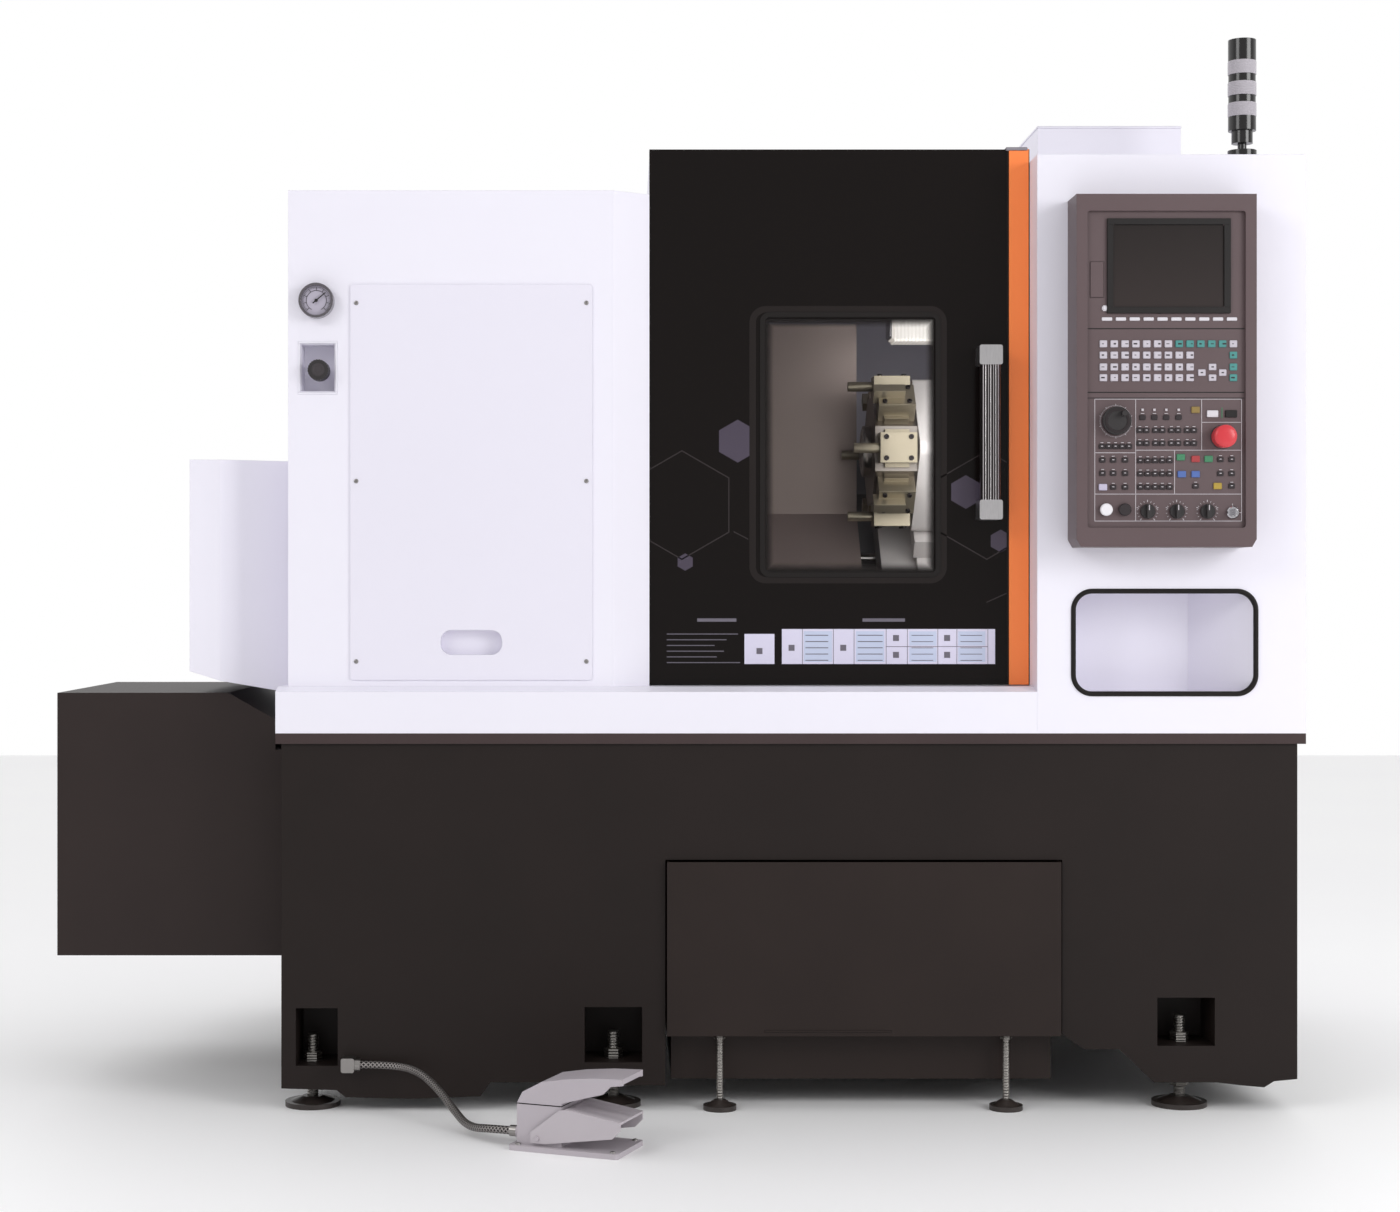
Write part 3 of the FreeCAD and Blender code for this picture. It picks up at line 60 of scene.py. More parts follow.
# ---- Light and floor ----------------------------------------------------------------------
# A white studio: a white wall and ceiling, a dimmer room in front, one large soft key from the upper
# left, a weaker fill from the right, and a plain pale floor of painted board.
def linear(code):
    """An sRGB colour such as "#C8C4CC" as linear RGBA."""
    values = [int(code[i:i + 2], 16) / 255 for i in (1, 3, 5)]
    return [v / 12.92 if v <= 0.04045 else ((v + 0.055) / 1.055) ** 2.4 for v in values] + [1.0]


def node(tree, kind, inputs=None, **settings):
    """Add a shader node: its settings, then each input's value or the socket that feeds it."""
    added = tree.nodes.new("ShaderNode" + kind)
    for name, value in settings.items():
        setattr(added, name, value)
    for name, value in (inputs or {}).items():
        if isinstance(value, bpy.types.NodeSocket):
            tree.links.new(value, added.inputs[name])
        else:
            added.inputs[name].default_value = value
    return added


def lamp(name, place, target, size, watts):
    """A soft rectangular light at a place, turned to a target."""
    data = bpy.data.lights.new(name, "AREA")
    data.energy = watts
    data.shape = "RECTANGLE"
    data.size, data.size_y = size
    holder = bpy.data.objects.new(name, data)
    holder.location = place
    holder.rotation_euler = (Vector(target) - Vector(place)).to_track_quat("-Z", "Y").to_euler()
    bpy.context.scene.collection.objects.link(holder)
    return holder


bpy.context.scene.view_settings.view_transform = "Standard"
surround = bpy.data.worlds.new("white_studio")
surround.use_nodes = True
sky = surround.node_tree
direction = node(sky, "TexCoord").outputs["Generated"]
parts = node(sky, "SeparateXYZ", {"Vector": direction})
depth = node(sky, "Math", {0: parts.outputs[2], 1: 0.4, 2: parts.outputs[1]},
             operation="MULTIPLY_ADD")
wall = node(sky, "MapRange", {"Value": depth.outputs[0], "From Min": -0.15, "From Max": 0.35,
                                        "To Min": 0.58, "To Max": 1.0}).outputs[0]
sky.links.new(wall, sky.nodes["Background"].inputs["Strength"])
sky.nodes["Background"].inputs["Color"].default_value = (1.0, 1.0, 1.0, 1.0)
bpy.context.scene.world = surround
lamp("key_light", (-3.6, -4.2, 3.6), (0, 0, 0.9), (2.6, 2.0), 62)
lamp("fill_light", (3.8, -3.4, 2.2), (0.2, 0, 0.8), (2.2, 2.0), 85)


def surface(name, coordinates="Object"):
    """A new material: returns it with its tree, its Principled node and the coordinates."""
    made = bpy.data.materials.new(name)
    made.use_nodes = True
    tree = made.node_tree
    where = node(tree, "TexCoord").outputs[coordinates]
    return made, tree, tree.nodes["Principled BSDF"], where


def grained(name, colour, worn, roughness, grain_mm, bump_mm, cloud_mm=180, metallic=0.0,
            stretch=(1, 1, 1), edge_mm=1.2, specular=0.5):
    """A finish with a fine grain in its height and roughness and slow clouds in its colour."""
    made, tree, shader, where = surface(name)
    shader.inputs["Metallic"].default_value = metallic
    shader.inputs["Specular IOR Level"].default_value = specular
    where = node(tree, "Mapping", {"Vector": where, "Scale": stretch}).outputs[0]
    clouds = node(tree, "TexNoise", {"Vector": where, "Scale": 1000 / cloud_mm,
                                               "Detail": 3.0})
    grain = node(tree, "TexNoise", {"Vector": where, "Scale": 1000 / grain_mm,
                                              "Detail": 2.0})
    tones = node(tree, "Mix", {"Factor": clouds.outputs["Fac"]}, data_type="RGBA")
    tones.inputs[6].default_value = linear(colour)
    tones.inputs[7].default_value = linear(worn)
    gloss = node(tree, "MapRange", {"Value": grain.outputs["Fac"],
                                              "To Min": roughness - 0.06,
                                              "To Max": roughness + 0.06})
    edge = node(tree, "Bevel", {"Radius": edge_mm / 1000}, samples=3)
    bump = node(tree, "Bump", {"Height": grain.outputs["Fac"], "Strength": 1.0,
                                         "Distance": bump_mm / 1000,
                                         "Normal": edge.outputs["Normal"]})
    tree.links.new(tones.outputs[2], shader.inputs["Base Color"])
    tree.links.new(gloss.outputs[0], shader.inputs["Roughness"])
    tree.links.new(bump.outputs["Normal"], shader.inputs["Normal"])
    return made


def dress(name, material):
    """Give a CAD node its material."""
    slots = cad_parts[name].data.materials
    slots.clear()
    slots.append(material)


def finished(name, shape, material, body):
    """Turn a bmesh into a piece that rides on a body, smooth except at its sharp edges."""
    mesh = bpy.data.meshes.new(name)
    bmesh.ops.recalc_face_normals(shape, faces=shape.faces)
    shape.to_mesh(mesh)
    shape.free()
    mesh.materials.append(material)
    mesh.shade_smooth()
    mesh.set_sharp_from_angle(angle=math.radians(32))
    piece = bpy.data.objects.new(name, mesh)
    bpy.context.scene.collection.objects.link(piece)
    if body:
        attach(piece, body)
    return piece


def slab(shape, low, high, round_off=0.0, segments=2):
    """Add a box between two corners, its edges rounded."""
    low, high = Vector(low), Vector(high)
    size = high - low
    place = Matrix.Translation((low + high) / 2) @ Matrix.Diagonal((*size, 1))
    corners = bmesh.ops.create_cube(shape, size=1, matrix=place)["verts"]
    if round_off:
        edges = {edge for corner in corners for edge in corner.link_edges}
        bmesh.ops.bevel(shape, geom=list(edges), offset=round_off, segments=segments,
                        affect="EDGES")
    return shape


floor_board = grained("pale_floor_paint", "#FBFAFC", "#FFFFFF", 0.6, 3.0, 0.05, cloud_mm=900)
floor_shape = slab(bmesh.new(), (-9, -9, -0.02), (9, 9, 0))
finished("floor", floor_shape, floor_board, None)

# ---- Pedal hose ----------------------------------------------------------------------------
# The pedal's cable runs in a hose of braided steel wire over a rubber tube, 14 mm across. It
# leaves the gland on the base, bends down to the floor and ends in the pedal's neck.
gland_low, gland_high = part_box("hose_gland")
HOSE_RADIUS = 0.007
HOSE_START = Vector((gland_high.x, gland_low.y + 0.012, gland_low.z + 0.013))
HOSE_STEPS = [(0, 0, 0), (0.053, 0, 0), (0.103, -0.016, -0.006), (0.143, -0.058, -0.030),
              (0.175, -0.114, -0.056), (0.205, -0.176, -0.074), (0.2492, -0.2312, -0.064),
              (0.2936, -0.2491, -0.064)]
HOSE_LENGTH = 0.4245

hose_line = bpy.data.curves.new("pedal_hose_braid", "CURVE")
hose_line.dimensions = "3D"
hose_line.bevel_depth = HOSE_RADIUS
hose_line.bevel_resolution = 5
hose_line.resolution_u = 10
hose_line.use_fill_caps = True
hose_spline = hose_line.splines.new("NURBS")
hose_spline.points.add(len(HOSE_STEPS) - 1)
for control, step in zip(hose_spline.points, HOSE_STEPS):
    control.co = (*(HOSE_START + Vector(step)), 1)
hose_spline.order_u = 3
hose_spline.use_endpoint_u = True

# Steel braid: two sets of wires at a 6 mm pitch, wound left and right round the tube.
braid, tree, shader, where = surface("braided_steel_wire", "UV")
wound = []
for turns in (1, -1):
    skew = node(tree, "Mapping", {"Vector": where,
                                            "Scale": (HOSE_LENGTH * 1000 / 6, 5 * turns, 1)})
    parts = node(tree, "SeparateXYZ", {"Vector": skew.outputs[0]})
    along = node(tree, "Math", {0: parts.outputs[0], 1: parts.outputs[1]}, operation="ADD")
    turned = node(tree, "Math", {0: along.outputs[0], 1: 2 * math.pi}, operation="MULTIPLY")
    wound.append(node(tree, "Math", {0: turned.outputs[0]}, operation="SINE").outputs[0])
weave = node(tree, "Math", {0: wound[0], 1: wound[1]}, operation="MAXIMUM")
tone = node(tree, "ValToRGB", {"Fac": weave.outputs[0]})
tone.color_ramp.elements[0].color = linear("#1F1C1D")
tone.color_ramp.elements[1].color = linear("#9C9795")
tone.color_ramp.elements[1].position = 0.8
lift = node(tree, "Bump", {"Height": weave.outputs[0], "Distance": 0.0006})
tree.links.new(tone.outputs[0], shader.inputs["Base Color"])
tree.links.new(lift.outputs[0], shader.inputs["Normal"])
shader.inputs["Metallic"].default_value = 0.9
shader.inputs["Roughness"].default_value = 0.36
hose_line.materials.append(braid)
hose = bpy.data.objects.new("pedal_hose_braid", hose_line)
bpy.context.scene.collection.objects.link(hose)
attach(hose, "root")
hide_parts("pedal_hose")

# ---- Base ----------------------------------------------------------------------------------
# Welded plate base with a stepped lower edge and pockets over its feet. It is stove painted in
# a satin black with a fine texture, which hides scuffs; the gland for the hose is nickel plated.
black_paint = grained("black_textured_paint", "#1D1715", "#241C1A", 0.5, 1.6, 0.05, specular=0.2)
dress("base_frame", black_paint)
gland_metal = grained("nickel_plated_brass", "#8D8A88", "#A5A19E", 0.3, 0.8, 0.01, metallic=1.0)
dress("hose_gland", gland_metal)


def turned(shape, centre, axis, outline, steps=32):
    """Add a turned form: its outline gives each radius and how far it lies along the axis."""
    frame_of = Vector(axis).to_track_quat("Z", "Y").to_matrix()
    centre, rings = Vector(centre), []
    for radius, along in outline:
        count = steps if radius > 1e-6 else 1
        ring = []
        for step in range(count):
            angle = 2 * math.pi * step / count
            spot = Vector((radius * math.cos(angle), radius * math.sin(angle), along))
            ring.append(shape.verts.new(centre + frame_of @ spot))
        rings.append(ring)
    for one, two in zip(rings, rings[1:]):
        for step in range(steps):
            a, b = one[step % len(one)], one[(step + 1) % len(one)]
            c, d = two[(step + 1) % len(two)], two[step % len(two)]
            corners = list(dict.fromkeys((a, b, c, d)))
            if len(corners) > 2:
                shape.faces.new(corners)
    return shape


def button_screws(name, places, radius, axis, body, material):
    """Button-head screws with a hexagon socket, seated on a face."""
    shape = bmesh.new()
    for place in places:
        turned(shape, place, axis, [(radius, 0), (radius, radius * 0.12), (radius * 0.86, radius * 0.42),
                                    (radius * 0.52, radius * 0.56), (radius * 0.46, radius * 0.56)], 24)
        turned(shape, place, axis, [(radius * 0.46, radius * 0.56), (radius * 0.44, radius * 0.2),
                                    (0, radius * 0.2)], 6)
    return finished(name, shape, material, body)


screw_steel = grained("zinc_plated_steel", "#A9A6A4", "#8F8C8B", 0.34, 0.8, 0.01, metallic=1.0)

# ---- Coolant tank --------------------------------------------------------------------------
# Folded steel tank that slides out of the base's middle, in a slightly browner black than the
# base. A folded stiffening lip runs along the left half of its front.
tank_paint = grained("brown_black_tank_paint", "#241C1A", "#2C2320", 0.46, 1.6, 0.04, specular=0.2)
dress("coolant_tank", tank_paint)
tank_low, tank_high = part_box("coolant_tank")
tank_middle = (tank_low.x + tank_high.x) / 2
lip = slab(bmesh.new(), (tank_middle - 0.18, tank_low.y - 0.0015, tank_low.z + 0.094),
           (tank_middle + 0.05, tank_low.y + 0.001, tank_low.z + 0.098), 0.0007)
finished("coolant_tank_lip", lip, tank_paint, "root")

# ---- Levelling feet ------------------------------------------------------------------------
# Cast pads, painted black, with studs of bright zinc-plated steel. The thread's 2.5 mm pitch is
# drawn at twice its size so that it shows.
feet, tree, shader, where = surface("painted_pads_and_zinc_studs")
height = node(tree, "SeparateXYZ", {"Vector": where}).outputs[2]
bright = node(tree, "Math", {0: height, 1: 0.0185}, operation="GREATER_THAN").outputs[0]
wear = node(tree, "TexNoise", {"Vector": where, "Scale": 90.0, "Detail": 4.0}).outputs["Fac"]
pads = node(tree, "Mix", {"Factor": wear}, data_type="RGBA")
pads.inputs[6].default_value = linear("#231D1B")
pads.inputs[7].default_value = linear("#3B3330")
tone = node(tree, "Mix", {"Factor": bright, 6: pads.outputs[2]}, data_type="RGBA")
tone.inputs[7].default_value = linear("#B4B0AB")
pitch = node(tree, "Math", {0: height, 1: 2 * math.pi / 0.005}, operation="MULTIPLY")
thread = node(tree, "Math", {0: pitch.outputs[0]}, operation="SINE")
cutting = node(tree, "Math", {0: thread.outputs[0], 1: bright}, operation="MULTIPLY")
grooves = node(tree, "Bump", {"Height": cutting.outputs[0], "Distance": 0.0008})
tree.links.new(tone.outputs[2], shader.inputs["Base Color"])
tree.links.new(bright, shader.inputs["Metallic"])
tree.links.new(grooves.outputs[0], shader.inputs["Normal"])
shader.inputs["Roughness"].default_value = 0.38
dress("levelling_feet", feet)

# ---- Trim rail and band --------------------------------------------------------------------
# A dark flat-bar rail separates the black base from the white sheet metal. The band above it is
# folded 3 mm steel with a white powder coat, whose faint orange peel softens reflections.
rail_paint = grained("dark_grey_rail_paint", "#3B2F2F", "#453838", 0.42, 1.4, 0.03, specular=0.25)
dress("base_trim_rail", rail_paint)
white_coat = grained("white_powder_coat", "#EFEDF7", "#EAE7F2", 0.4, 2.2, 0.03, cloud_mm=600)
for part in ("front_band", "left_cabinet", "right_cabinet", "chamber_roof", "rear_cabinet",
             "rear_cabinet_door", "spindle_guard", "roof_box"):
    dress(part, white_coat)
# A slightly darker copy of the white coat is painted shade: it darkens the access panel, the pocket and
# the regulator's recess.
painted_shade_white_coat = grained("white_powder_coat_painted_shade", "#E9E6F2", "#E4E1ED", 0.42, 2.2, 0.03,
                     cloud_mm=600)
dress("access_panel", painted_shade_white_coat)
dress("pocket_tray", painted_shade_white_coat)

# ---- Left cabinet --------------------------------------------------------------------------
# Folded cabinet round the headstock. Six button-head screws hold its access panel; its left side
# has pressed louvres that let the belt drive's warm air out.
panel_low, panel_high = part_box("access_panel")
left_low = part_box("left_cabinet")[0]
SCREW_INSET = Vector((0.011, 0, 0.034))
screw_rows = (panel_low.z + SCREW_INSET.z, (panel_low.z + panel_high.z) / 2 + 0.002,
              panel_high.z - SCREW_INSET.z)
places = [(x, panel_low.y + 0.0002, z) for z in screw_rows
          for x in (panel_low.x + SCREW_INSET.x, panel_high.x - SCREW_INSET.x)]
button_screws("access_panel_screws", places, 0.0042, (0, -1, 0), "root", screw_steel)


def louvres(name, corner, across, up, out, count, pitch, length, depth, body):
    """Rows of pressed louvres: each a shallow wedge, open below, standing off a face."""
    shape = bmesh.new()
    corner, across, up, out = (Vector(v) for v in (corner, across, up, out))
    for number in range(count):
        foot = corner + up * (pitch * number)
        top = foot + up * (pitch * 0.62)
        lip = foot + out * depth
        ends = []
        for shift in (0.0, length):
            ends.append([shape.verts.new(p + across * shift) for p in
                         (foot, lip, lip + up * 0.0012, top)])
        one, two = ends
        for a, b in ((0, 1), (1, 2), (2, 3), (3, 0)):
            shape.faces.new((one[a], one[b], two[b], two[a]))
        shape.faces.new(one)
        shape.faces.new(two)
    finished(name, shape, white_coat, body)


louvres("left_cabinet_louvres", (left_low.x, left_low.y + 0.30, left_low.z + 0.62), (0, 1, 0),
        (0, 0, 1), (-1, 0, 0), 9, 0.022, 0.20, 0.006, "root")

# ---- Pressure gauge and regulator ----------------------------------------------------------
# Air-supply gauge: a turned case with a chromed bezel darkened by a painted dark reflection, a printed
# lilac-grey dial and a black needle. The regulator's knob is black nylon, in a recess of the cabinet's
# own white sheet.
# The bezel's chrome gets a dark colour, a painted dark reflection.
dress("pressure_gauge", grained("chrome_bezel_painted_dark_reflection", "#6F6A70", "#8B878D", 0.2, 1.0, 0.004,
                                metallic=1.0))
gauge_low, gauge_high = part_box("pressure_gauge")
GAUGE_RADIUS = (gauge_high.x - gauge_low.x) / 2
dial_centre = Vector(((gauge_low.x + gauge_high.x) / 2, gauge_low.y + 0.0088,
                      (gauge_low.z + gauge_high.z) / 2))
dial_paper = grained("printed_dial_card", "#BDB7C6", "#B1ABBB", 0.55, 1.0, 0.004, edge_mm=0.1)
dial = turned(bmesh.new(), dial_centre, (0, -1, 0), [(GAUGE_RADIUS * 0.85, 0), (0, 0)], 48)
finished("gauge_dial", dial, dial_paper, "root")


def ticks(shape, centre, first, last, count, inner, outer, width, lift):
    """Radial strokes on a dial that faces the front, from one angle to another in degrees."""
    for number in range(count):
        angle = math.radians(first + (last - first) * number / (count - 1))
        out = Vector((math.sin(angle), 0, math.cos(angle)))
        side = Vector((math.cos(angle), 0, -math.sin(angle))) * (width / 2)
        face = centre + Vector((0, -lift, 0))
        shape.faces.new([shape.verts.new(p) for p in (
            face + out * inner - side, face + out * outer - side,
            face + out * outer + side, face + out * inner + side)])


black_print = grained("black_screen_print", "#1B1819", "#221F20", 0.5, 0.8, 0.003, edge_mm=0.05)
strokes = bmesh.new()
ticks(strokes, dial_centre, -135, 135, 41, GAUGE_RADIUS * 0.70, GAUGE_RADIUS * 0.79, 0.0005, 0.0002)
ticks(strokes, dial_centre, -135, 135, 9, GAUGE_RADIUS * 0.60, GAUGE_RADIUS * 0.79, 0.0011, 0.0003)
ticks(strokes, dial_centre, -135, 135, 61, GAUGE_RADIUS * 0.785, GAUGE_RADIUS * 0.80, 0.0018, 0.0004)
ticks(strokes, dial_centre, -150, 150, 61, GAUGE_RADIUS * 0.56, GAUGE_RADIUS * 0.60, 0.0012, 0.0004)
finished("gauge_scale", strokes, black_print, "root")
needle_paint = grained("black_enamel_needle", "#171415", "#1F1C1D", 0.35, 0.6, 0.003, edge_mm=0.2)
dress("gauge_needle", needle_paint)

# The regulator's recess takes the darker copy of the white coat, painted shade.
dress("regulator_body", painted_shade_white_coat)
black_nylon = grained("moulded_black_nylon", "#211E1F", "#2B2728", 0.42, 0.9, 0.015, edge_mm=0.5)
dress("regulator_knob", black_nylon)
knob_low, knob_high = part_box("regulator_knob")
knob_face = Vector(((knob_low.x + knob_high.x) / 2, knob_low.y, (knob_low.z + knob_high.z) / 2))
cap = turned(bmesh.new(), knob_face + Vector((0, 0.0004, 0)), (0, -1, 0),
             [(0.012, 0), (0.0115, 0.0012), (0.008, 0.0014), (0.0075, 0.0007), (0, 0.0007)])
finished("regulator_knob_cap", cap, grained("black_knob_insert", "#332E31", "#3D373A", 0.4, 0.8, 0.01),
         "regulator_knob")
recess_low, recess_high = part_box("regulator_body")
flange = bmesh.new()
FLANGE = 0.004
left, right, bottom, top = recess_low.x, recess_high.x, recess_low.z, recess_high.z
for x_low, x_high, z_low, z_high in ((left - FLANGE, right + FLANGE, top, top + FLANGE),
                                     (left - FLANGE, right + FLANGE, bottom - FLANGE, bottom),
                                     (left - FLANGE, left, bottom, top),
                                     (right, right + FLANGE, bottom, top)):
    slab(flange, (x_low, left_low.y - 0.0012, z_low), (x_high, left_low.y + 0.0002, z_high), 0.0004)
finished("regulator_recess_frame", flange, white_coat, "root")

# ---- Side housing and guard ----------------------------------------------------------------
# Folded steel boxes on the left end: a black one for the hydraulic supply, with slots for air in
# its end wall, and a white guard over the rotary cylinder, bolted through its rear flange.
housing_paint = grained("black_housing_paint", "#2A2221", "#322927", 0.48, 1.6, 0.05, specular=0.2)
dress("side_housing", housing_paint)
housing_low, housing_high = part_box("side_housing")
dark_gap = grained("unlit_opening", "#0E0C0C", "#131010", 0.8, 2.0, 0.01, edge_mm=0.1)
SLOT_PROUD, SLOT_SUNK, SLOT_TALL = 0.0004, 0.001, 0.008


def air_slots(name, face_x, outward, y_low, y_high, z_low, count, pitch):
    """A stack of dark slots in an end wall, which faces -X or +X as outward says."""
    shape = bmesh.new()
    x_low, x_high = sorted((face_x + outward * SLOT_PROUD, face_x - outward * SLOT_SUNK))
    for row in range(count):
        z = z_low + row * pitch
        slab(shape, (x_low, y_low, z), (x_high, y_high, z + SLOT_TALL), 0.0003)
    finished(name, shape, dark_gap, "root")


air_slots("side_housing_vents", housing_low.x, -1, housing_low.y + 0.12, housing_high.y - 0.12,
          housing_low.z + 0.10, 8, 0.022)
SCREW_SUNK = 0.003
places = [(housing_low.x + SCREW_SUNK, y, z) for y in (housing_low.y + 0.03, housing_high.y - 0.03)
          for z in (housing_low.z + 0.04, housing_high.z - 0.09)]
button_screws("side_housing_screws", places, 0.006, (-1, 0, 0), "root", screw_steel)

# ---- Bed, headstock and spindle drive ------------------------------------------------------
# Grey cast iron with the slightly rough skin of sand casting under machine enamel; spindle, chuck
# and screws are ground or turned steel, whose fine turning lines catch the light.
cast_iron = grained("grey_enamelled_cast_iron", "#8C9092", "#7F8385", 0.52, 3.5, 0.12)
for part in ("slant_bed", "headstock"):
    dress(part, cast_iron)
ground_steel = grained("ground_steel", "#A7A5A3", "#8F8D8B", 0.26, 1.2, 0.01, metallic=1.0,
                       stretch=(6, 1, 1))
turned_steel = grained("turned_steel", "#B2AFAC", "#9B9895", 0.3, 1.0, 0.015, metallic=1.0,
                       stretch=(8, 1, 1))
for part in ("spindle", "spindle_bearings", "saddle_screw"):
    dress(part, ground_steel)
for part in ("chuck_body", "chuck_jaw_1", "chuck_jaw_2", "chuck_jaw_3", "rotary_cylinder",
             "motor_pulley"):
    dress(part, turned_steel)
chuck_low, chuck_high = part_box("chuck_body")
chuck_axis = Vector((chuck_high.x, (chuck_low.y + chuck_high.y) / 2, (chuck_low.z + chuck_high.z) / 2))
black_bolts = grained("black_oxide_bolts", "#2B2829", "#363233", 0.4, 0.8, 0.01, metallic=0.8)
places = []
for number in range(6):
    angle = math.radians(60 * number + 30)
    places.append(chuck_axis + Vector((0, math.sin(angle), math.cos(angle))) * 0.062)
button_screws("chuck_bolts", places, 0.006, (1, 0, 0), "spindle", black_bolts)
belt_rubber = grained("ribbed_belt_rubber", "#1D1B1B", "#292627", 0.7, 2.5, 0.1, stretch=(4, 1, 1))
dress("drive_belt", belt_rubber)
motor_paint = grained("black_motor_enamel", "#2A2A2D", "#353539", 0.45, 1.5, 0.04)
for part in ("spindle_motor", "saddle_motor"):
    dress(part, motor_paint)

# ---- Saddle, turret and way covers ---------------------------------------------------------
# Cast saddle and turret slide in pale machine enamel, a hardened and ground turret disc with eight
# clamped tool blocks, and brushed stainless way covers that keep chips off the bed.
pale_enamel = grained("pale_grey_machine_enamel", "#DAD5D3", "#CFCAC8", 0.45, 2.5, 0.05)
for part in ("saddle", "turret_slide"):
    dress(part, pale_enamel)
dress("turret_disc", grained("hardened_turret_steel", "#8D8781", "#6F6964", 0.33, 1.5, 0.02,
                             metallic=1.0))
dress("tool_holders", grained("nickel_plated_tool_blocks", "#A79E8A", "#7F7767", 0.34, 1.2, 0.02,
                              metallic=0.75))
cover_steel = grained("brushed_stainless_covers", "#C6B6B0", "#B2A29B", 0.45, 0.9, 0.012,
                      metallic=0.6, stretch=(1, 1, 0.05), cloud_mm=260)
for part in ("way_cover_fixed", "way_cover_moving"):
    dress(part, cover_steel)
bulkhead_coat = grained("grey_chamber_coat", "#9B9592", "#8F8986", 0.5, 2.2, 0.04)
for part in ("chamber_bulkhead", "door_rail_beam"):
    dress(part, bulkhead_coat)

disc_low, disc_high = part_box("turret_disc")
holders_low, holders_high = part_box("tool_holders")
turret_axis = Vector((0, (holders_low.y + holders_high.y) / 2, (holders_low.z + holders_high.z) / 2))
STATIONS = 8
BLOCK_FOOT, BLOCK_HEIGHT, BLOCK_SETBACK = 0.108, 0.044, 0.006
BOLT_INSET, BOLT_SPREAD = 0.012, 0.021
block_left = disc_low.x + 0.014 + BLOCK_SETBACK
block_right = disc_high.x - 0.045 - BLOCK_SETBACK
clamp_bolts = []
for station in range(STATIONS):
    angle = 2 * math.pi * station / STATIONS + math.radians(45)
    out = Vector((0, -math.sin(angle), math.cos(angle)))
    side = Vector((0, math.cos(angle), math.sin(angle)))
    top = turret_axis + out * (BLOCK_FOOT + BLOCK_HEIGHT)
    for x in (block_left + BOLT_INSET, block_right - BOLT_INSET):
        for across in (-BOLT_SPREAD, BOLT_SPREAD):
            clamp_bolts.append((top + side * across + Vector((x, 0, 0)), out))
bolt_shape = bmesh.new()
for place, out in clamp_bolts:
    turned(bolt_shape, place, out, [(0.005, 0), (0.005, 0.0035), (0.0044, 0.004), (0.0026, 0.004)], 20)
    turned(bolt_shape, place, out, [(0.0026, 0.004), (0.0025, 0.0015), (0, 0.0015)], 6)
finished("turret_clamp_bolts", bolt_shape, black_bolts, "turret")
ring = turned(bmesh.new(), turret_axis + Vector((disc_low.x - 0.0003, 0, 0)), (-1, 0, 0),
              [(0.046, 0), (0.046, 0.002), (0.034, 0.002), (0.033, 0.0005), (0.012, 0.0005),
               (0.012, 0.003), (0, 0.003)], 48)
finished("turret_face_cap", ring, turned_steel, "turret")

# ---- Work lamp -----------------------------------------------------------------------------
# Sealed lamp hung from the chamber's roof over the turret: a folded aluminium tray on two straps
# with a frosted, ribbed polycarbonate lens. Its light is spread from in front of the turret.
roof_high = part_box("chamber_roof")[1]
ROOF_SHEET = 0.003
frosted, tree, shader, where = surface("frosted_polycarbonate_lens")
ribs = node(tree, "TexWave", {"Vector": where, "Scale": 1000 / 12 / 2}, bands_direction="X")
ribbing = node(tree, "Bump", {"Height": ribs.outputs["Fac"], "Distance": 0.0008})
tree.links.new(ribbing.outputs[0], shader.inputs["Normal"])
shader.inputs["Base Color"].default_value = linear("#F6F3EE")
shader.inputs["Roughness"].default_value = 0.5
shader.inputs["Emission Color"].default_value = linear("#FFF6EC")
shader.inputs["Emission Strength"].default_value = 0.35
lamp_low = Vector((disc_low.x + 0.055, turret_axis.y - 0.005, turret_axis.z + 0.232))
lamp_high = lamp_low + Vector((0.20, 0.08, 0.045))
lens = slab(bmesh.new(), lamp_low + Vector((0.004, -0.006, -0.008)),
            lamp_high + Vector((-0.004, -0.006, -0.004)), 0.005, 4)
finished("work_lamp_lens", lens, frosted, "root")
tray = slab(bmesh.new(), lamp_low, lamp_high, 0.003)
for x in (lamp_low.x + 0.03, lamp_high.x - 0.05):
    slab(tray, (x, lamp_low.y + 0.03, lamp_high.z - 0.001),
         (x + 0.02, lamp_low.y + 0.033, roof_high.z - ROOF_SHEET), 0.0005)
aluminium = grained("satin_anodised_aluminium", "#B9B7BB", "#A9A7AB", 0.32, 1.0, 0.01, metallic=1.0,
                    stretch=(1, 1, 0.05))
finished("work_lamp_tray", tray, aluminium, "root")
glow = Vector(((lamp_low.x + lamp_high.x) / 2, holders_low.y - 0.09, turret_axis.z))
lamp("work_light", glow, glow + Vector((-0.1, 1.0, -0.1)), (0.25, 0.5), 1.3)

# ---- Door ----------------------------------------------------------------------------------
# Folded steel leaf in gloss black, with a faint screen-printed pattern of hexagons and plain
# fields of pale vinyl at the bottom. A painted strip and a rubber seal close against the cabinet.
gloss_black = grained("gloss_black_enamel", "#110D0C", "#15100F", 0.2, 2.5, 0.01, cloud_mm=700,
                      specular=0.16)
dress("door_leaf", gloss_black)
leaf_low, leaf_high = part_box("door_leaf")
pane_low, pane_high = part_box("door_window")
FILM = 0.0003


def on_leaf(across, up):
    """A point on the door's face, in metres from its lower left corner."""
    return Vector((leaf_low.x + across, leaf_low.y, leaf_low.z + up))


def hexagon_points(centre, radius):
    return [centre + Vector((math.sin(math.radians(60 * n)), 0, math.cos(math.radians(60 * n)))) * radius
            for n in range(6)]


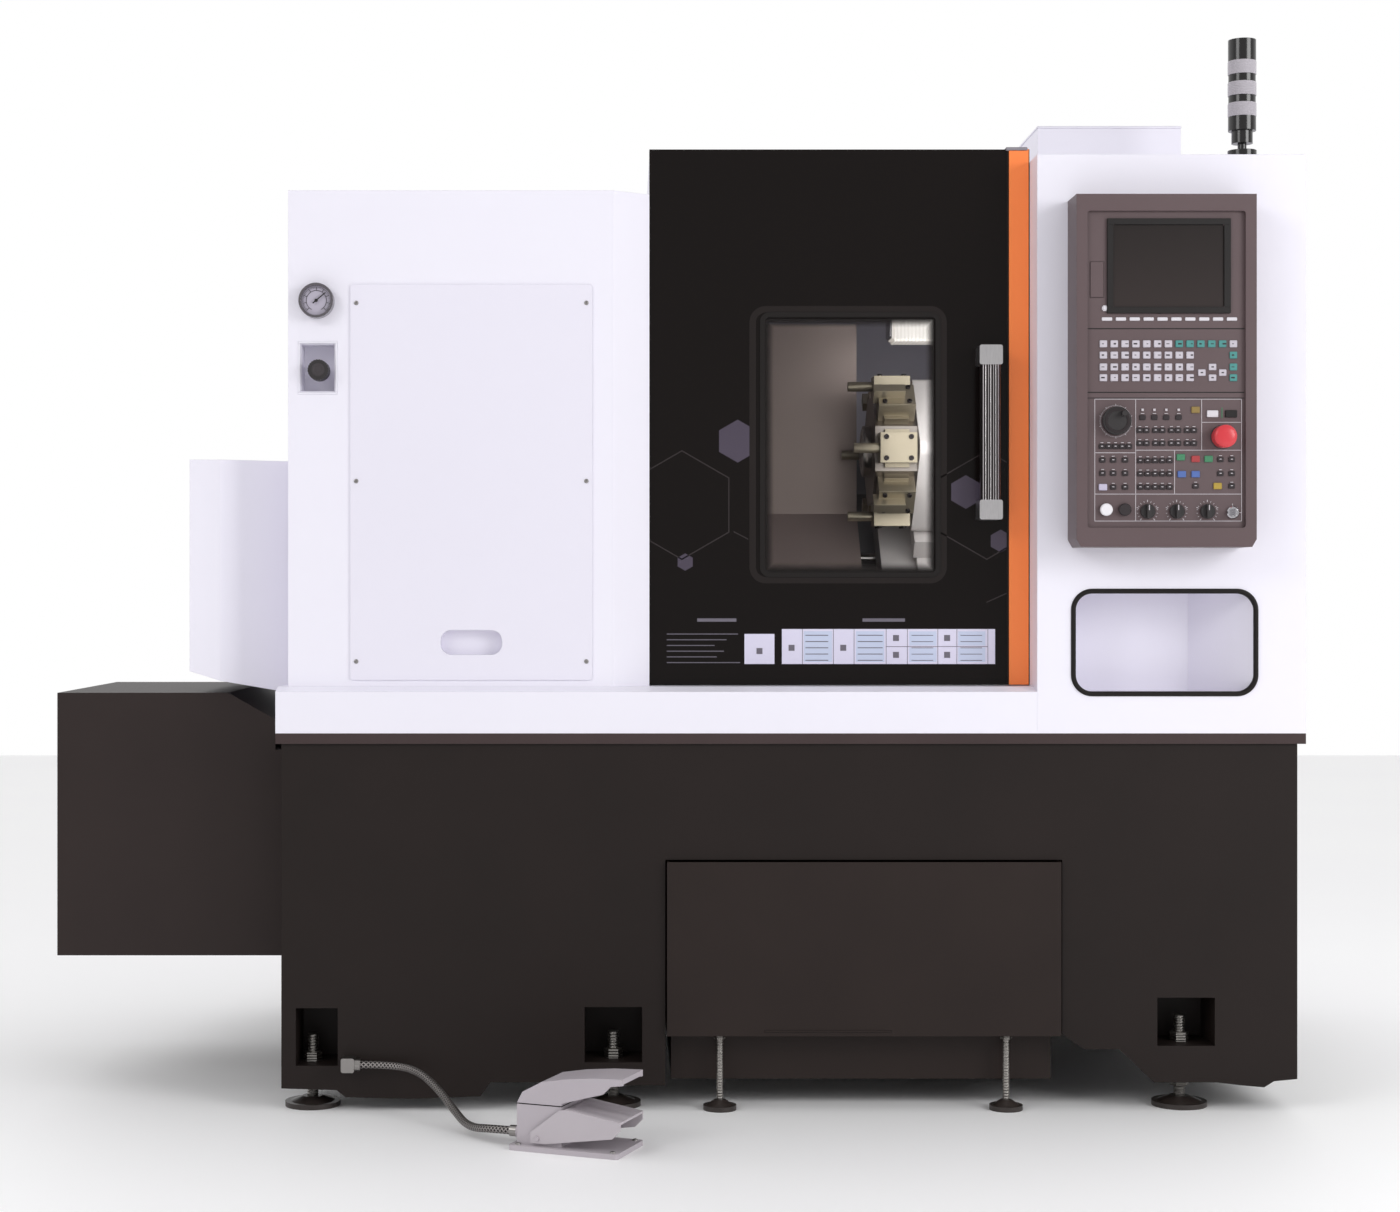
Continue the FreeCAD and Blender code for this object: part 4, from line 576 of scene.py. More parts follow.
def trimmed(shape, edge_x, keep_below=True):
    """Cut a print off at an upright edge."""
    bmesh.ops.bisect_plane(shape, geom=shape.verts[:] + shape.edges[:] + shape.faces[:],
                           plane_co=(edge_x, 0, 0), plane_no=(1 if keep_below else -1, 0, 0),
                           clear_outer=True)
    return shape


def film(shape, corners, lift=FILM):
    """A flat field of printed film, standing a little off the face it is stuck to."""
    shape.faces.new([shape.verts.new(p + Vector((0, -lift, 0))) for p in corners])


lilac_print = grained("lilac_grey_screen_print", "#453E4B", "#4E4654", 0.3, 1.5, 0.01, edge_mm=0.1,
                      specular=0.3)
for name, across, up, radius, edge in (("hexagon_left", 0.1624, 0.4476, 0.0395, 0.184),
                                       ("hexagon_right", 0.582, 0.3540, 0.031, 0.66),
                                       ("hexagon_low_left", 0.0659, 0.2252, 0.016, 0.66),
                                       ("hexagon_low_right", 0.6460, 0.2640, 0.021, 0.659)):
    patch = bmesh.new()
    film(patch, hexagon_points(on_leaf(across, up), radius))
    finished("door_" + name, trimmed(patch, leaf_low.x + edge), lilac_print, "door")
outline_print = grained("dark_grey_screen_print", "#2C2627", "#322B2C", 0.3, 1.5, 0.01, edge_mm=0.1,
                        specular=0.3)
outlines = bmesh.new()
for across in (0.0598, 0.6205):
    corners = hexagon_points(on_leaf(across, 0.330), 0.101)
    inner = hexagon_points(on_leaf(across, 0.330), 0.0985)
    for n in range(6):
        film(outlines, (corners[n], corners[(n + 1) % 6], inner[(n + 1) % 6], inner[n]))
for start, end in (((0.155, 0.280), (0.182, 0.266)), ((0.620, 0.150), (0.66, 0.168))):
    one, two = on_leaf(*start), on_leaf(*end)
    film(outlines, (one, two, two + Vector((0, 0, 0.0022)), one + Vector((0, 0, 0.0022))))
trimmed(outlines, leaf_high.x - 0.001)
finished("door_hexagon_outlines", trimmed(outlines, leaf_low.x + 0.001, False), outline_print, "door")

pale_vinyl = grained("pale_lilac_vinyl", "#DAD6EA", "#CFCBE0", 0.4, 1.5, 0.01, edge_mm=0.1)
blue_vinyl = grained("pale_blue_vinyl", "#C3CBE2", "#BBC3DB", 0.4, 1.5, 0.01, edge_mm=0.1)
grey_print = grained("grey_line_print", "#6B6672", "#625D68", 0.45, 1.5, 0.01, edge_mm=0.1)
FIELD_LOW, FIELD_HIGH = 0.0377, 0.102


def fields(name, boxes, material, lift):
    shape = bmesh.new()
    for x0, x1, z0, z1 in boxes:
        film(shape, (on_leaf(x0, z0), on_leaf(x1, z0), on_leaf(x1, z1), on_leaf(x0, z1)), lift)
    finished(name, shape, material, "door")


fields("door_pale_fields", [(0.1749, 0.230, FIELD_LOW, FIELD_HIGH - 0.009),
                            (0.2437, 0.6358, FIELD_LOW, FIELD_HIGH)], pale_vinyl, FILM)
blocks_of_tint = [(x, x + 0.052, FIELD_LOW + 0.004, FIELD_HIGH - 0.004) for x in (0.284, 0.380)]
blocks_of_tint += [(x, x + 0.050, z, z + 0.026) for x in (0.478, 0.568)
                   for z in (FIELD_LOW + 0.004, FIELD_LOW + 0.034)]
fields("door_tinted_fields", blocks_of_tint, blue_vinyl, FILM * 1.5)
rules = [(x, x + 0.0009, FIELD_LOW, FIELD_HIGH) for x in (0.281, 0.338, 0.376, 0.435, 0.474, 0.530,
                                                         0.565, 0.622)]
rules += [(0.435, 0.622, FIELD_LOW + 0.0315, FIELD_LOW + 0.0325)]
bars = []
for number in range(5):
    z = FIELD_LOW + 0.006 + number * 0.0115
    bars += [(x, x + length, z, z + 0.0016) for x, length in ((0.287, 0.042), (0.383, 0.046))]
    bars += [(x, x + 0.040, z, z + 0.0013) for x in (0.482, 0.572)]
discs = [(x, x + 0.011, z, z + 0.011) for x, z in ((0.256, 0.062), (0.351, 0.062), (0.448, 0.049),
                                                  (0.448, 0.080), (0.542, 0.049), (0.542, 0.080),
                                                  (0.197, 0.056))]
fields("door_rules_and_bars", rules + bars + discs, grey_print, FILM * 2)
faint = [(0.032, 0.032 + length, 0.0395 + 0.0105 * row, 0.0411 + 0.0105 * row)
         for row, length in enumerate((0.135, 0.092, 0.105, 0.088, 0.110, 0.131))]
faint += [(0.088, 0.160, 0.1155, 0.1215), (0.392, 0.470, 0.1155, 0.1215)]
fields("door_faint_bars", faint, grey_print, FILM)

# ---- Door window ---------------------------------------------------------------------------
# Laminated safety glass, smoke tinted, with a black ceramic border fired into it that fades
# towards the middle; a black rubber bead holds it in the opening.
smoked, tree, shader, where = surface("smoked_laminated_glass")
pane_middle, pane_half = (pane_low + pane_high) / 2, (pane_high - pane_low) / 2
BORDER = 0.022
parts = node(tree, "SeparateXYZ", {"Vector": where})
fades = []
for axis in (0, 2):
    centred = node(tree, "Math", {0: parts.outputs[axis], 1: pane_middle[axis]},
                   operation="SUBTRACT")
    distance = node(tree, "Math", {0: centred.outputs[0]}, operation="ABSOLUTE")
    fades.append(node(tree, "MapRange", {"Value": distance.outputs[0],
                                                   "From Min": pane_half[axis] - BORDER,
                                                   "From Max": pane_half[axis],
                                                   "To Min": 0.12, "To Max": 1.0},
                      interpolation_type="SMOOTHSTEP").outputs[0])
border = node(tree, "Math", {0: fades[0], 1: fades[1]}, operation="MAXIMUM")
smear = node(tree, "TexNoise", {"Vector": where, "Scale": 9.0, "Detail": 3.0})
film_gloss = node(tree, "MapRange", {"Value": smear.outputs["Fac"], "To Min": 0.06,
                                               "To Max": 0.14})
tree.links.new(border.outputs[0], shader.inputs["Alpha"])
tree.links.new(film_gloss.outputs[0], shader.inputs["Roughness"])
shader.inputs["Base Color"].default_value = linear("#1C1615")
shader.inputs["Specular IOR Level"].default_value = 0.3
dress("door_window", smoked)


def ring_bead(shape, low, high, radius, section, y, steps=8):
    """Sweep a section, given as (outwards, forwards) points, round a rounded rectangle."""
    path = []
    for corner_x, corner_z, first in ((high.x - radius, high.z - radius, 0),
                                      (high.x - radius, low.z + radius, 90),
                                      (low.x + radius, low.z + radius, 180),
                                      (low.x + radius, high.z - radius, 270)):
        for step in range(steps + 1):
            angle = math.radians(first + 90 * step / steps)
            path.append((Vector((corner_x, y, corner_z)), Vector((math.sin(angle), 0, math.cos(angle)))))
    rings = [[shape.verts.new(corner + out * (radius + away) + Vector((0, -ahead, 0)))
              for away, ahead in section] for corner, out in path]
    for number, ring in enumerate(rings):
        following = rings[(number + 1) % len(rings)]
        for a in range(len(section)):
            b = (a + 1) % len(section)
            shape.faces.new((ring[a], ring[b], following[b], following[a]))
    return shape


black_rubber = grained("black_epdm_rubber", "#171413", "#1F1B1A", 0.6, 1.5, 0.03, edge_mm=0.3,
                       specular=0.2)
OPENING = Vector((0.001, 0, 0.001))
bead = ring_bead(bmesh.new(), pane_low - OPENING, pane_high + OPENING, 0.012,
                 [(-0.004, -0.0075), (0.0, -0.0075), (0.0, 0.0005), (0.006, 0.0008), (0.0055, 0.0018),
                  (-0.003, 0.0018), (-0.0045, 0.0)], leaf_low.y)
finished("door_window_bead", bead, black_rubber, "door")
soft_border = ring_bead(bmesh.new(), pane_low - Vector((0.026, 0, 0.018)),
                        pane_high + Vector((0.018, 0, 0.018)), 0.03,
                        [(-0.012, 0.0001), (-0.012, FILM), (0.0, FILM), (0.0, 0.0001)], leaf_low.y)
fired_black = grained("fired_black_ceramic", "#1E1918", "#231D1C", 0.35, 1.0, 0.005, edge_mm=0.1,
                      specular=0.2)
finished("door_window_print_border", soft_border, fired_black, "door")

# ---- Door edge trim and handle -------------------------------------------------------------
# The closing edge is a folded steel strip in satin orange enamel between two rubber lips. The
# handle is a black anodised fluted bar in two end blocks of satin anodised aluminium.
orange_enamel = grained("satin_orange_enamel", "#FF8B46", "#FC833F", 0.38, 2.0, 0.02, cloud_mm=500)
dress("door_edge_trim", orange_enamel)
strip_low, strip_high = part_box("door_edge_trim")
LIP = 0.0016
lips = slab(bmesh.new(), (strip_high.x, strip_low.y + 0.001, strip_low.z),
            (strip_high.x + LIP, strip_high.y, strip_high.z), 0.0005)
slab(lips, (strip_low.x - 0.004, leaf_low.y - LIP, strip_low.z),
     (strip_low.x, leaf_low.y, strip_high.z), 0.0005)
finished("door_edge_lips", lips, black_rubber, "door")
cap = slab(bmesh.new(), (strip_low.x - 0.006, strip_low.y - 0.001, strip_high.z - 0.003),
           (strip_high.x - 0.002, strip_high.y, strip_high.z + 0.0035), 0.001)
finished("door_top_bracket", cap, grained("moulded_grey_nylon", "#8E8A92", "#827E86", 0.5, 1.0, 0.02),
         "door")

handle_low, handle_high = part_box("door_handle")
END_BLOCK = 0.036
handle_finish, tree, shader, where = surface("anodised_aluminium_handle")
parts = node(tree, "SeparateXYZ", {"Vector": where})
across, height = parts.outputs[0], parts.outputs[2]
above = node(tree, "Math", {0: height, 1: handle_low.z + END_BLOCK}, operation="GREATER_THAN")
below = node(tree, "Math", {0: height, 1: handle_high.z - END_BLOCK}, operation="LESS_THAN")
grip = node(tree, "Math", {0: above.outputs[0], 1: below.outputs[0]}, operation="MULTIPLY")
brushed = node(tree, "Mapping", {"Vector": where, "Scale": (1, 1, 0.04)})
lines = node(tree, "TexNoise", {"Vector": brushed.outputs[0], "Scale": 1400.0})
satin = node(tree, "Mix", {"Factor": lines.outputs["Fac"]}, data_type="RGBA")
satin.inputs[6].default_value = linear("#B4B1B3")
satin.inputs[7].default_value = linear("#D8D6D7")
two_tone = node(tree, "Mix", {"Factor": grip.outputs[0], 6: satin.outputs[2]},
                data_type="RGBA")
# The grip's pale stripes along the flutes' crests are painted highlights on the black bar.
FLUTE_PITCH = 0.0046
flutes = node(tree, "Math", {0: across, 1: 2 * math.pi / FLUTE_PITCH}, operation="MULTIPLY")
crest = node(tree, "Math", {0: flutes.outputs[0]}, operation="SINE")
painted_flute_highlight = node(tree, "MapRange", {"Value": crest.outputs[0], "From Min": 0.35, "From Max": 0.9})
grip_painted_highlights = node(tree, "Mix", {"Factor": painted_flute_highlight.outputs[0]}, data_type="RGBA")
grip_painted_highlights.inputs[6].default_value = linear("#3A3536")
grip_painted_highlights.inputs[7].default_value = linear("#C9C5C6")
tree.links.new(grip_painted_highlights.outputs[2], two_tone.inputs[7])
scratches = node(tree, "Bump", {"Height": lines.outputs["Fac"], "Distance": 0.00002})
tree.links.new(two_tone.outputs[2], shader.inputs["Base Color"])
tree.links.new(scratches.outputs[0], shader.inputs["Normal"])
shader.inputs["Metallic"].default_value = 1.0
shader.inputs["Roughness"].default_value = 0.3
dress("door_handle", handle_finish)

# ---- Right cabinet and storage pocket ------------------------------------------------------
# White folded cabinet that carries the control panel. The pocket's mouth is edged with a rubber
# channel pushed over the sheet, which hides the cut edge.
pocket_low, pocket_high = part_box("pocket_tray")
right_low, right_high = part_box("right_cabinet")
EDGE = 0.0045
profile = [(-0.0045, -0.006)] + [(EDGE * math.sin(math.radians(a)), EDGE * math.cos(math.radians(a)))
                                 for a in range(-90, 91, 30)] + [(0.0045, -0.0002), (0.0005, -0.0002),
                                                                 (0.0005, -0.006)]
edging = ring_bead(bmesh.new(), pocket_low, pocket_high, 0.034, profile, right_low.y, 12)
finished("pocket_rubber_edging", edging, black_rubber, "root")

# ---- Control panel housing and screen ------------------------------------------------------
# Cast aluminium housing in smooth warm grey enamel, bevelled all round its front.
# The fascia is moulded; the screen is a liquid-crystal panel under matt glass in a black bezel.
housing_enamel = grained("warm_grey_enamel", "#5B4C4E", "#635456", 0.42, 2.0, 0.03, specular=0.3)
dress("panel_housing", housing_enamel)
fascia_abs = grained("moulded_dark_fascia_abs", "#5A4B4D", "#625355", 0.5, 1.2, 0.02, edge_mm=0.6,
                     specular=0.35)
dress("panel_fascia", fascia_abs)
house_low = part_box("panel_housing")[0]
fascia_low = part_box("panel_fascia")[0]
SCREEN_FRAME = 0.004
fascia_face = fascia_low.y + SCREEN_FRAME


def on_panel(across, up, out=0.0):
    """A point over the fascia, in metres from the housing's lower left corner."""
    return Vector((house_low.x + across, fascia_face - out, house_low.z + up))


def pads(name, boxes, material, height, round_off=0.0008, sunk=0.0):
    """Raised pads on the fascia, each given as (middle across, middle up, width, tall)."""
    shape = bmesh.new()
    for across, up, width, tall in boxes:
        slab(shape, on_panel(across - width / 2, up - tall / 2, height),
             on_panel(across + width / 2, up + tall / 2, -sunk), round_off)
    return finished(name, shape, material, "root")


bezel_black = grained("matt_black_bezel", "#1A1717", "#211E1E", 0.5, 1.0, 0.01, edge_mm=0.4,
                      specular=0.3)
pads("screen_bezel", [(0.1645, 0.5765, 0.219, 0.011), (0.1645, 0.4195, 0.219, 0.011),
                      (0.0603, 0.498, 0.0106, 0.146), (0.268, 0.498, 0.012, 0.146)],
     bezel_black, SCREEN_FRAME + 0.0005, 0.0004)
screen_glass, tree, shader, where = surface("matt_screen_glass")
parts = node(tree, "SeparateXYZ", {"Vector": where})
# The glass's colour is painted light: lighter at the bottom and darker towards the top.
fade = node(tree, "MapRange", {"Value": parts.outputs[2], "From Min": house_low.z + 0.425,
                                         "From Max": house_low.z + 0.571})
painted_light_on_screen = node(tree, "Mix", {"Factor": fade.outputs[0]}, data_type="RGBA")
painted_light_on_screen.inputs[6].default_value = linear("#332C2B")
painted_light_on_screen.inputs[7].default_value = linear("#262120")
tree.links.new(painted_light_on_screen.outputs[2], shader.inputs["Base Color"])
shader.inputs["Roughness"].default_value = 0.28
shader.inputs["Specular IOR Level"].default_value = 0.25
pads("screen_glass", [(0.1638, 0.498, 0.1965, 0.146)], screen_glass, 0.0015, 0.0003)

# ---- Control panel keys --------------------------------------------------------------------
# Keys are silicone rubber caps through a membrane: pale grey with dark print, and teal ones for
# editing. Below them is the operator's field of illuminated push buttons in white outlines.
pale_key = grained("pale_grey_key_rubber", "#C6C0C9", "#B9B3BD", 0.5, 1.0, 0.01, edge_mm=0.5)
soft_key = grained("white_key_rubber", "#DAD6DC", "#CFCBD2", 0.5, 1.0, 0.01, edge_mm=0.5)
teal_key = grained("teal_key_rubber", "#3F8583", "#4A8F8B", 0.5, 1.0, 0.01, edge_mm=0.5)
dark_key = grained("dark_button_plastic", "#2A2426", "#342D30", 0.4, 1.0, 0.01, edge_mm=0.5,
                   specular=0.35)
white_ink = grained("white_panel_ink", "#C9C3C8", "#BDB7BC", 0.5, 1.0, 0.005, edge_mm=0.1)
KEY_PITCH, KEY_FIRST = 0.0192, 0.0486
KEY_ROWS = (0.360, 0.340, 0.319, 0.300)
pale, teal, prints = [], [], []
for row, up in enumerate(KEY_ROWS):
    for column in range(13):
        across = KEY_FIRST + KEY_PITCH * column
        if row and 8 < column < 12:
            continue
        group = teal if (not row and 6 < column < 12) or (column == 12 and row) else pale
        group.append((across, up, 0.0135, 0.0125))
        prints.append((across - 0.001 + 0.002 * ((column * 7 + row * 3) % 3), up,
                       0.003 + 0.0012 * ((column + row) % 4), 0.0014 + 0.0012 * ((column + row) % 2)))
arrows = [(0.223, 0.309), (0.260, 0.309), (0.242, 0.319), (0.242, 0.300)]
pale += [(across, up, 0.0135, 0.0115) for across, up in arrows]
prints += [(across, up, 0.0045, 0.0022) for across, up in arrows]
pads("letter_keys", pale, pale_key, 0.0022)
pads("edit_keys", teal, teal_key, 0.0022)
pads("soft_keys", [(0.055 + 0.0246 * n, 0.404, 0.0185, 0.0062) for n in range(10)], soft_key, 0.002)
pads("key_prints", prints, dark_key, 0.0023, 0.0)
pads("brightness_button", [(0.051, 0.423, 0.010, 0.010)], soft_key, 0.003, 0.002)
pads("card_slot_door", [(0.0373, 0.474, 0.0245, 0.064)], fascia_abs, 0.0012, 0.0006)
grooves = [(0.1593, 0.387, 0.279, 0.0018), (0.1593, 0.274, 0.279, 0.0018),
           (0.1593, 0.264, 0.279, 0.0014)]
pads("fascia_grooves", grooves, bezel_black, 0.0003, 0.0)

# Lines of the operator's field: the outline, then its uprights and levels.
LINE = 0.0010
uprights = [(0.0336, 0.046, 0.262), (0.2937, 0.046, 0.262), (0.106, 0.046, 0.262),
            (0.223, 0.172, 0.262), (0.175, 0.094, 0.171)]
levels = [(0.046, 0.0336, 0.2937), (0.262, 0.0336, 0.2937), (0.167, 0.0336, 0.106),
          (0.1716, 0.106, 0.2937), (0.221, 0.223, 0.2937), (0.0938, 0.0336, 0.2937)]
lines = [(x, (low + high) / 2, LINE, high - low) for x, low, high in uprights]
lines += [((left + right) / 2, up, right - left, LINE) for up, left, right in levels]
pads("field_lines", lines, white_ink, 0.0004, 0.0)

BUTTON = (0.0112, 0.0088)
dark, marks = [], []
grids = [((0.046, 0.058, 0.070, 0.082, 0.094), (0.178,)),
         ((0.113, 0.125, 0.141, 0.153, 0.169, 0.181, 0.197, 0.209), (0.2065, 0.1835)),
         ((0.047, 0.066, 0.087), (0.154, 0.1305)), ((0.066, 0.087), (0.106,)),
         ((0.114, 0.127, 0.140, 0.153, 0.166), (0.153, 0.1295, 0.106)),
         ((0.256, 0.276), (0.155, 0.130)), ((0.212, 0.276), (0.108,))]
for columns, rows in grids:
    for up in rows:
        for across in columns:
            dark.append((across, up, *BUTTON))
            marks.append((across, up + 0.0068, 0.0048, 0.0011))
            marks.append((across, up + 0.0006, 0.0036, 0.0013))
for across in (0.118, 0.139, 0.160, 0.182):
    dark.append((across, 0.2295, *BUTTON))
    marks.append((across, 0.2430, 0.0040, 0.0040))
    marks.append((across, 0.2365, 0.0060, 0.0010))
pads("function_buttons", dark, dark_key, 0.0024)
pads("function_marks", marks, white_ink, 0.0027, 0.0)
for name, code, spots in (
        ("green_buttons", "#3F7F5C", [(0.1857, 0.159), (0.235, 0.156)]),
        ("red_button", "#A33A3D", [(0.212, 0.156)]),
        ("blue_buttons", "#4F69A8", [(0.1875, 0.129), (0.212, 0.129)]),
        ("yellow_button", "#A98F3A", [(0.251, 0.108)]),
        ("olive_button", "#8A7440", [(0.212, 0.243)]),
        ("lilac_button", "#BDB6CC", [(0.0478, 0.106)])):
    colour = grained("translucent_" + name, code, code, 0.35, 1.0, 0.01, edge_mm=0.5)
    pads(name, [(across, up, 0.0150, 0.0115) for across, up in spots], colour, 0.0026)
pads("cycle_window", [(0.242, 0.236, 0.020, 0.012)], soft_key, 0.003)
pads("alarm_window", [(0.275, 0.236, 0.021, 0.013)], bezel_black, 0.003)
pads("field_green_line", [(0.259, 0.238, 0.0016, 0.018)],
     grained("green_panel_ink", "#3F7F5C", "#37714F", 0.5, 1.0, 0.005, edge_mm=0.1), 0.0005, 0.0)

# ---- Control panel knobs and buttons -------------------------------------------------------
# Moulded black knobs with white pointer lines over printed scales, a red mushroom stop button on
# a dark grey collar, and a chrome key switch. The handwheel turns over a printed scale of a hundred.
for part in ("handwheel", "feed_knob", "spindle_knob", "rapid_knob"):
    dress(part, black_nylon)
red_abs = grained("moulded_red_abs", "#D23B43", "#C9343C", 0.3, 1.5, 0.01, edge_mm=0.8)
dress("stop_button", red_abs)
dress("start_button", grained("moulded_white_abs", "#E9E6EA", "#DFDCE1", 0.32, 1.5, 0.01))
dress("hold_button", dark_key)
dress("key_switch", grained("polished_chrome", "#B9B6BC", "#D6D4D8", 0.14, 1.0, 0.004, metallic=1.0))


def part_middle(name):
    """Where a knob's axis meets the fascia, and the knob's low corner."""
    low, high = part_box(name)
    return Vector(((low.x + high.x) / 2, fascia_face, (low.z + high.z) / 2)), low


scales = bmesh.new()
wheel_middle, wheel_low = part_middle("handwheel")
ticks(scales, wheel_middle, -180, 176.4, 100, 0.0268, 0.0288, 0.0005, 0.0003)
ticks(scales, wheel_middle, -180, 144, 10, 0.0268, 0.0305, 0.0009, 0.0004)
for knob in ("feed_knob", "spindle_knob", "rapid_knob"):
    middle, low = part_middle(knob)
    ticks(scales, middle, -140, 140, 15, 0.0165, 0.0192, 0.0008, 0.0003)
    ticks(scales, middle, -140, 140, 5, 0.0165, 0.0205, 0.0013, 0.0004)
    pointer = slab(bmesh.new(), (middle.x - 0.0008, low.y - 0.0004, middle.z + 0.002),
                   (middle.x + 0.0008, low.y + 0.0006, middle.z + 0.0112), 0.0002)
    finished(knob + "_pointer", pointer, white_ink, knob)
key_middle = part_middle("key_switch")[0]
ticks(scales, key_middle, 0, 90, 2, 0.0125, 0.0160, 0.0010, 0.0003)
finished("panel_scales", scales, white_ink, "root")

wheel_ring = turned(bmesh.new(), Vector((wheel_middle.x, wheel_low.y + 0.0138, wheel_middle.z)),
                    (0, -1, 0), [(0.0225, 0), (0.0222, 0.0008), (0.0172, 0.0008), (0.017, 0)], 48)
finished("handwheel_rim", wheel_ring, grained("satin_black_aluminium", "#3A3536", "#443E40", 0.3, 0.8,
                                              0.01, metallic=0.8), "handwheel")
stop_middle, stop_low = part_middle("stop_button")
collar = turned(bmesh.new(), stop_middle + Vector((0, 0.0002, 0)), (0, -1, 0),
                [(0.0215, 0), (0.0213, 0.0005), (0.0118, 0.0005), (0.0116, 0)], 48)
finished("stop_button_collar", collar, grained("dark_grey_collar", "#3B3437", "#443C40", 0.4, 1.0, 0.01),
         "root")
dome = turned(bmesh.new(), Vector((stop_middle.x, stop_low.y + 0.0002, stop_middle.z)), (0, -1, 0),
              [(0.0184, 0), (0.0165, 0.0014), (0.012, 0.0026), (0.006, 0.0032), (0, 0.0034)], 40)
finished("stop_button_dome", dome, red_abs, "stop_button")

# ---- Signal tower and roof box -------------------------------------------------------------
# Stacked lamp of three frosted acrylic lenses, ribbed to spread the light, between black rings
# under a black cap. The pale box beside it covers the cables; its conduit elbow is black nylon.
dress("signal_tower", grained("gloss_black_tower_plastic", "#0F0D0D", "#141212", 0.16, 1.0, 0.004,
                              specular=0.6))
tower_low, tower_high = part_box("signal_tower")
tower_middle = Vector(((tower_low.x + tower_high.x) / 2, (tower_low.y + tower_high.y) / 2, 0))
lens_acrylic = grained("frosted_acrylic_lens", "#B4AFB6", "#A8A3AA", 0.3, 1.5, 0.01, edge_mm=0.2)
LENS_RADIUS, CAP_HEIGHT, LENS_HEIGHT, LENS_RIB = 0.0253, 0.038, 0.0255, 0.003
lens_tops = [tower_high.z - CAP_HEIGHT - drop for drop in (0, 0.0385, 0.0765)]
lenses = bmesh.new()
for top in lens_tops:
    outline = [(0.0249, 0.0), (LENS_RADIUS, 0.0004)]
    for rib in range(8):
        foot = rib * LENS_RIB
        outline += [(LENS_RADIUS + 0.0005, 0.0018 + foot), (LENS_RADIUS - 0.0001, 0.0032 + foot)]
    outline += [(0.0249, LENS_HEIGHT)]
    turned(lenses, tower_middle + Vector((0, 0, top - LENS_HEIGHT)), (0, 0, 1), outline, 40)
finished("signal_tower_lenses", lenses, lens_acrylic, "root")
box_low, box_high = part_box("roof_box")
elbow = turned(bmesh.new(), (box_low.x + 0.001, box_low.y + 0.03, box_low.z + 0.03), (-1, 0, 0),
               [(0.011, 0), (0.011, 0.006), (0.008, 0.007), (0.008, 0.016), (0.0075, 0.020),
                (0, 0.020)], 20)
turned(elbow, (box_low.x - 0.011, box_low.y + 0.03, right_high.z), (0, 0, 1),
       [(0.010, 0), (0.010, 0.005), (0.0072, 0.006), (0.0072, 0.034), (0.0066, 0.037), (0, 0.037)], 20)
finished("roof_conduit_elbow", elbow, black_nylon, "root")
seam = slab(bmesh.new(), (box_low.x - 0.001, box_low.y - 0.001, box_high.z - 0.004),
            (box_high.x + 0.001, box_high.y + 0.001, box_high.z + 0.001), 0.0008)
finished("roof_box_lid", seam, white_coat, "root")

# ---- Rear cabinet --------------------------------------------------------------------------
# Electrical cabinet on the back: white folded steel with pressed louvres and a black latch. Its
# door hangs on three pin hinges; the right cabinet beside it breathes through plain slots.
rear_low, rear_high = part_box("rear_cabinet_door")
for level, z in (("high", rear_high.z - 0.26), ("low", rear_low.z + 0.07)):
    louvres("rear_door_louvres_" + level, (rear_high.x - 0.12, rear_low.y + 0.020, z),
            (-1, 0, 0), (0, 0, 1), (0, 1, 0), 8, 0.024, 0.46, 0.006, "rear_door")
hinges = bmesh.new()
for share in (0.12, 0.5, 0.88):
    z = rear_low.z + (rear_high.z - rear_low.z) * share
    turned(hinges, (rear_low.x, rear_low.y, z - 0.03), (0, 0, 1),
           [(0, 0), (0.006, 0), (0.006, 0.029), (0.0045, 0.0295), (0.0045, 0.0305), (0.006, 0.031),
            (0.006, 0.06), (0, 0.06)], 20)
finished("rear_door_hinges", hinges, screw_steel, "rear_door")
latch_plate = slab(bmesh.new(), (rear_high.x - 0.074, rear_low.y + 0.0195, 1.112),
                   (rear_high.x - 0.036, rear_low.y + 0.0215, 1.248), 0.001)
finished("rear_door_latch_plate", latch_plate, black_nylon, "rear_door")
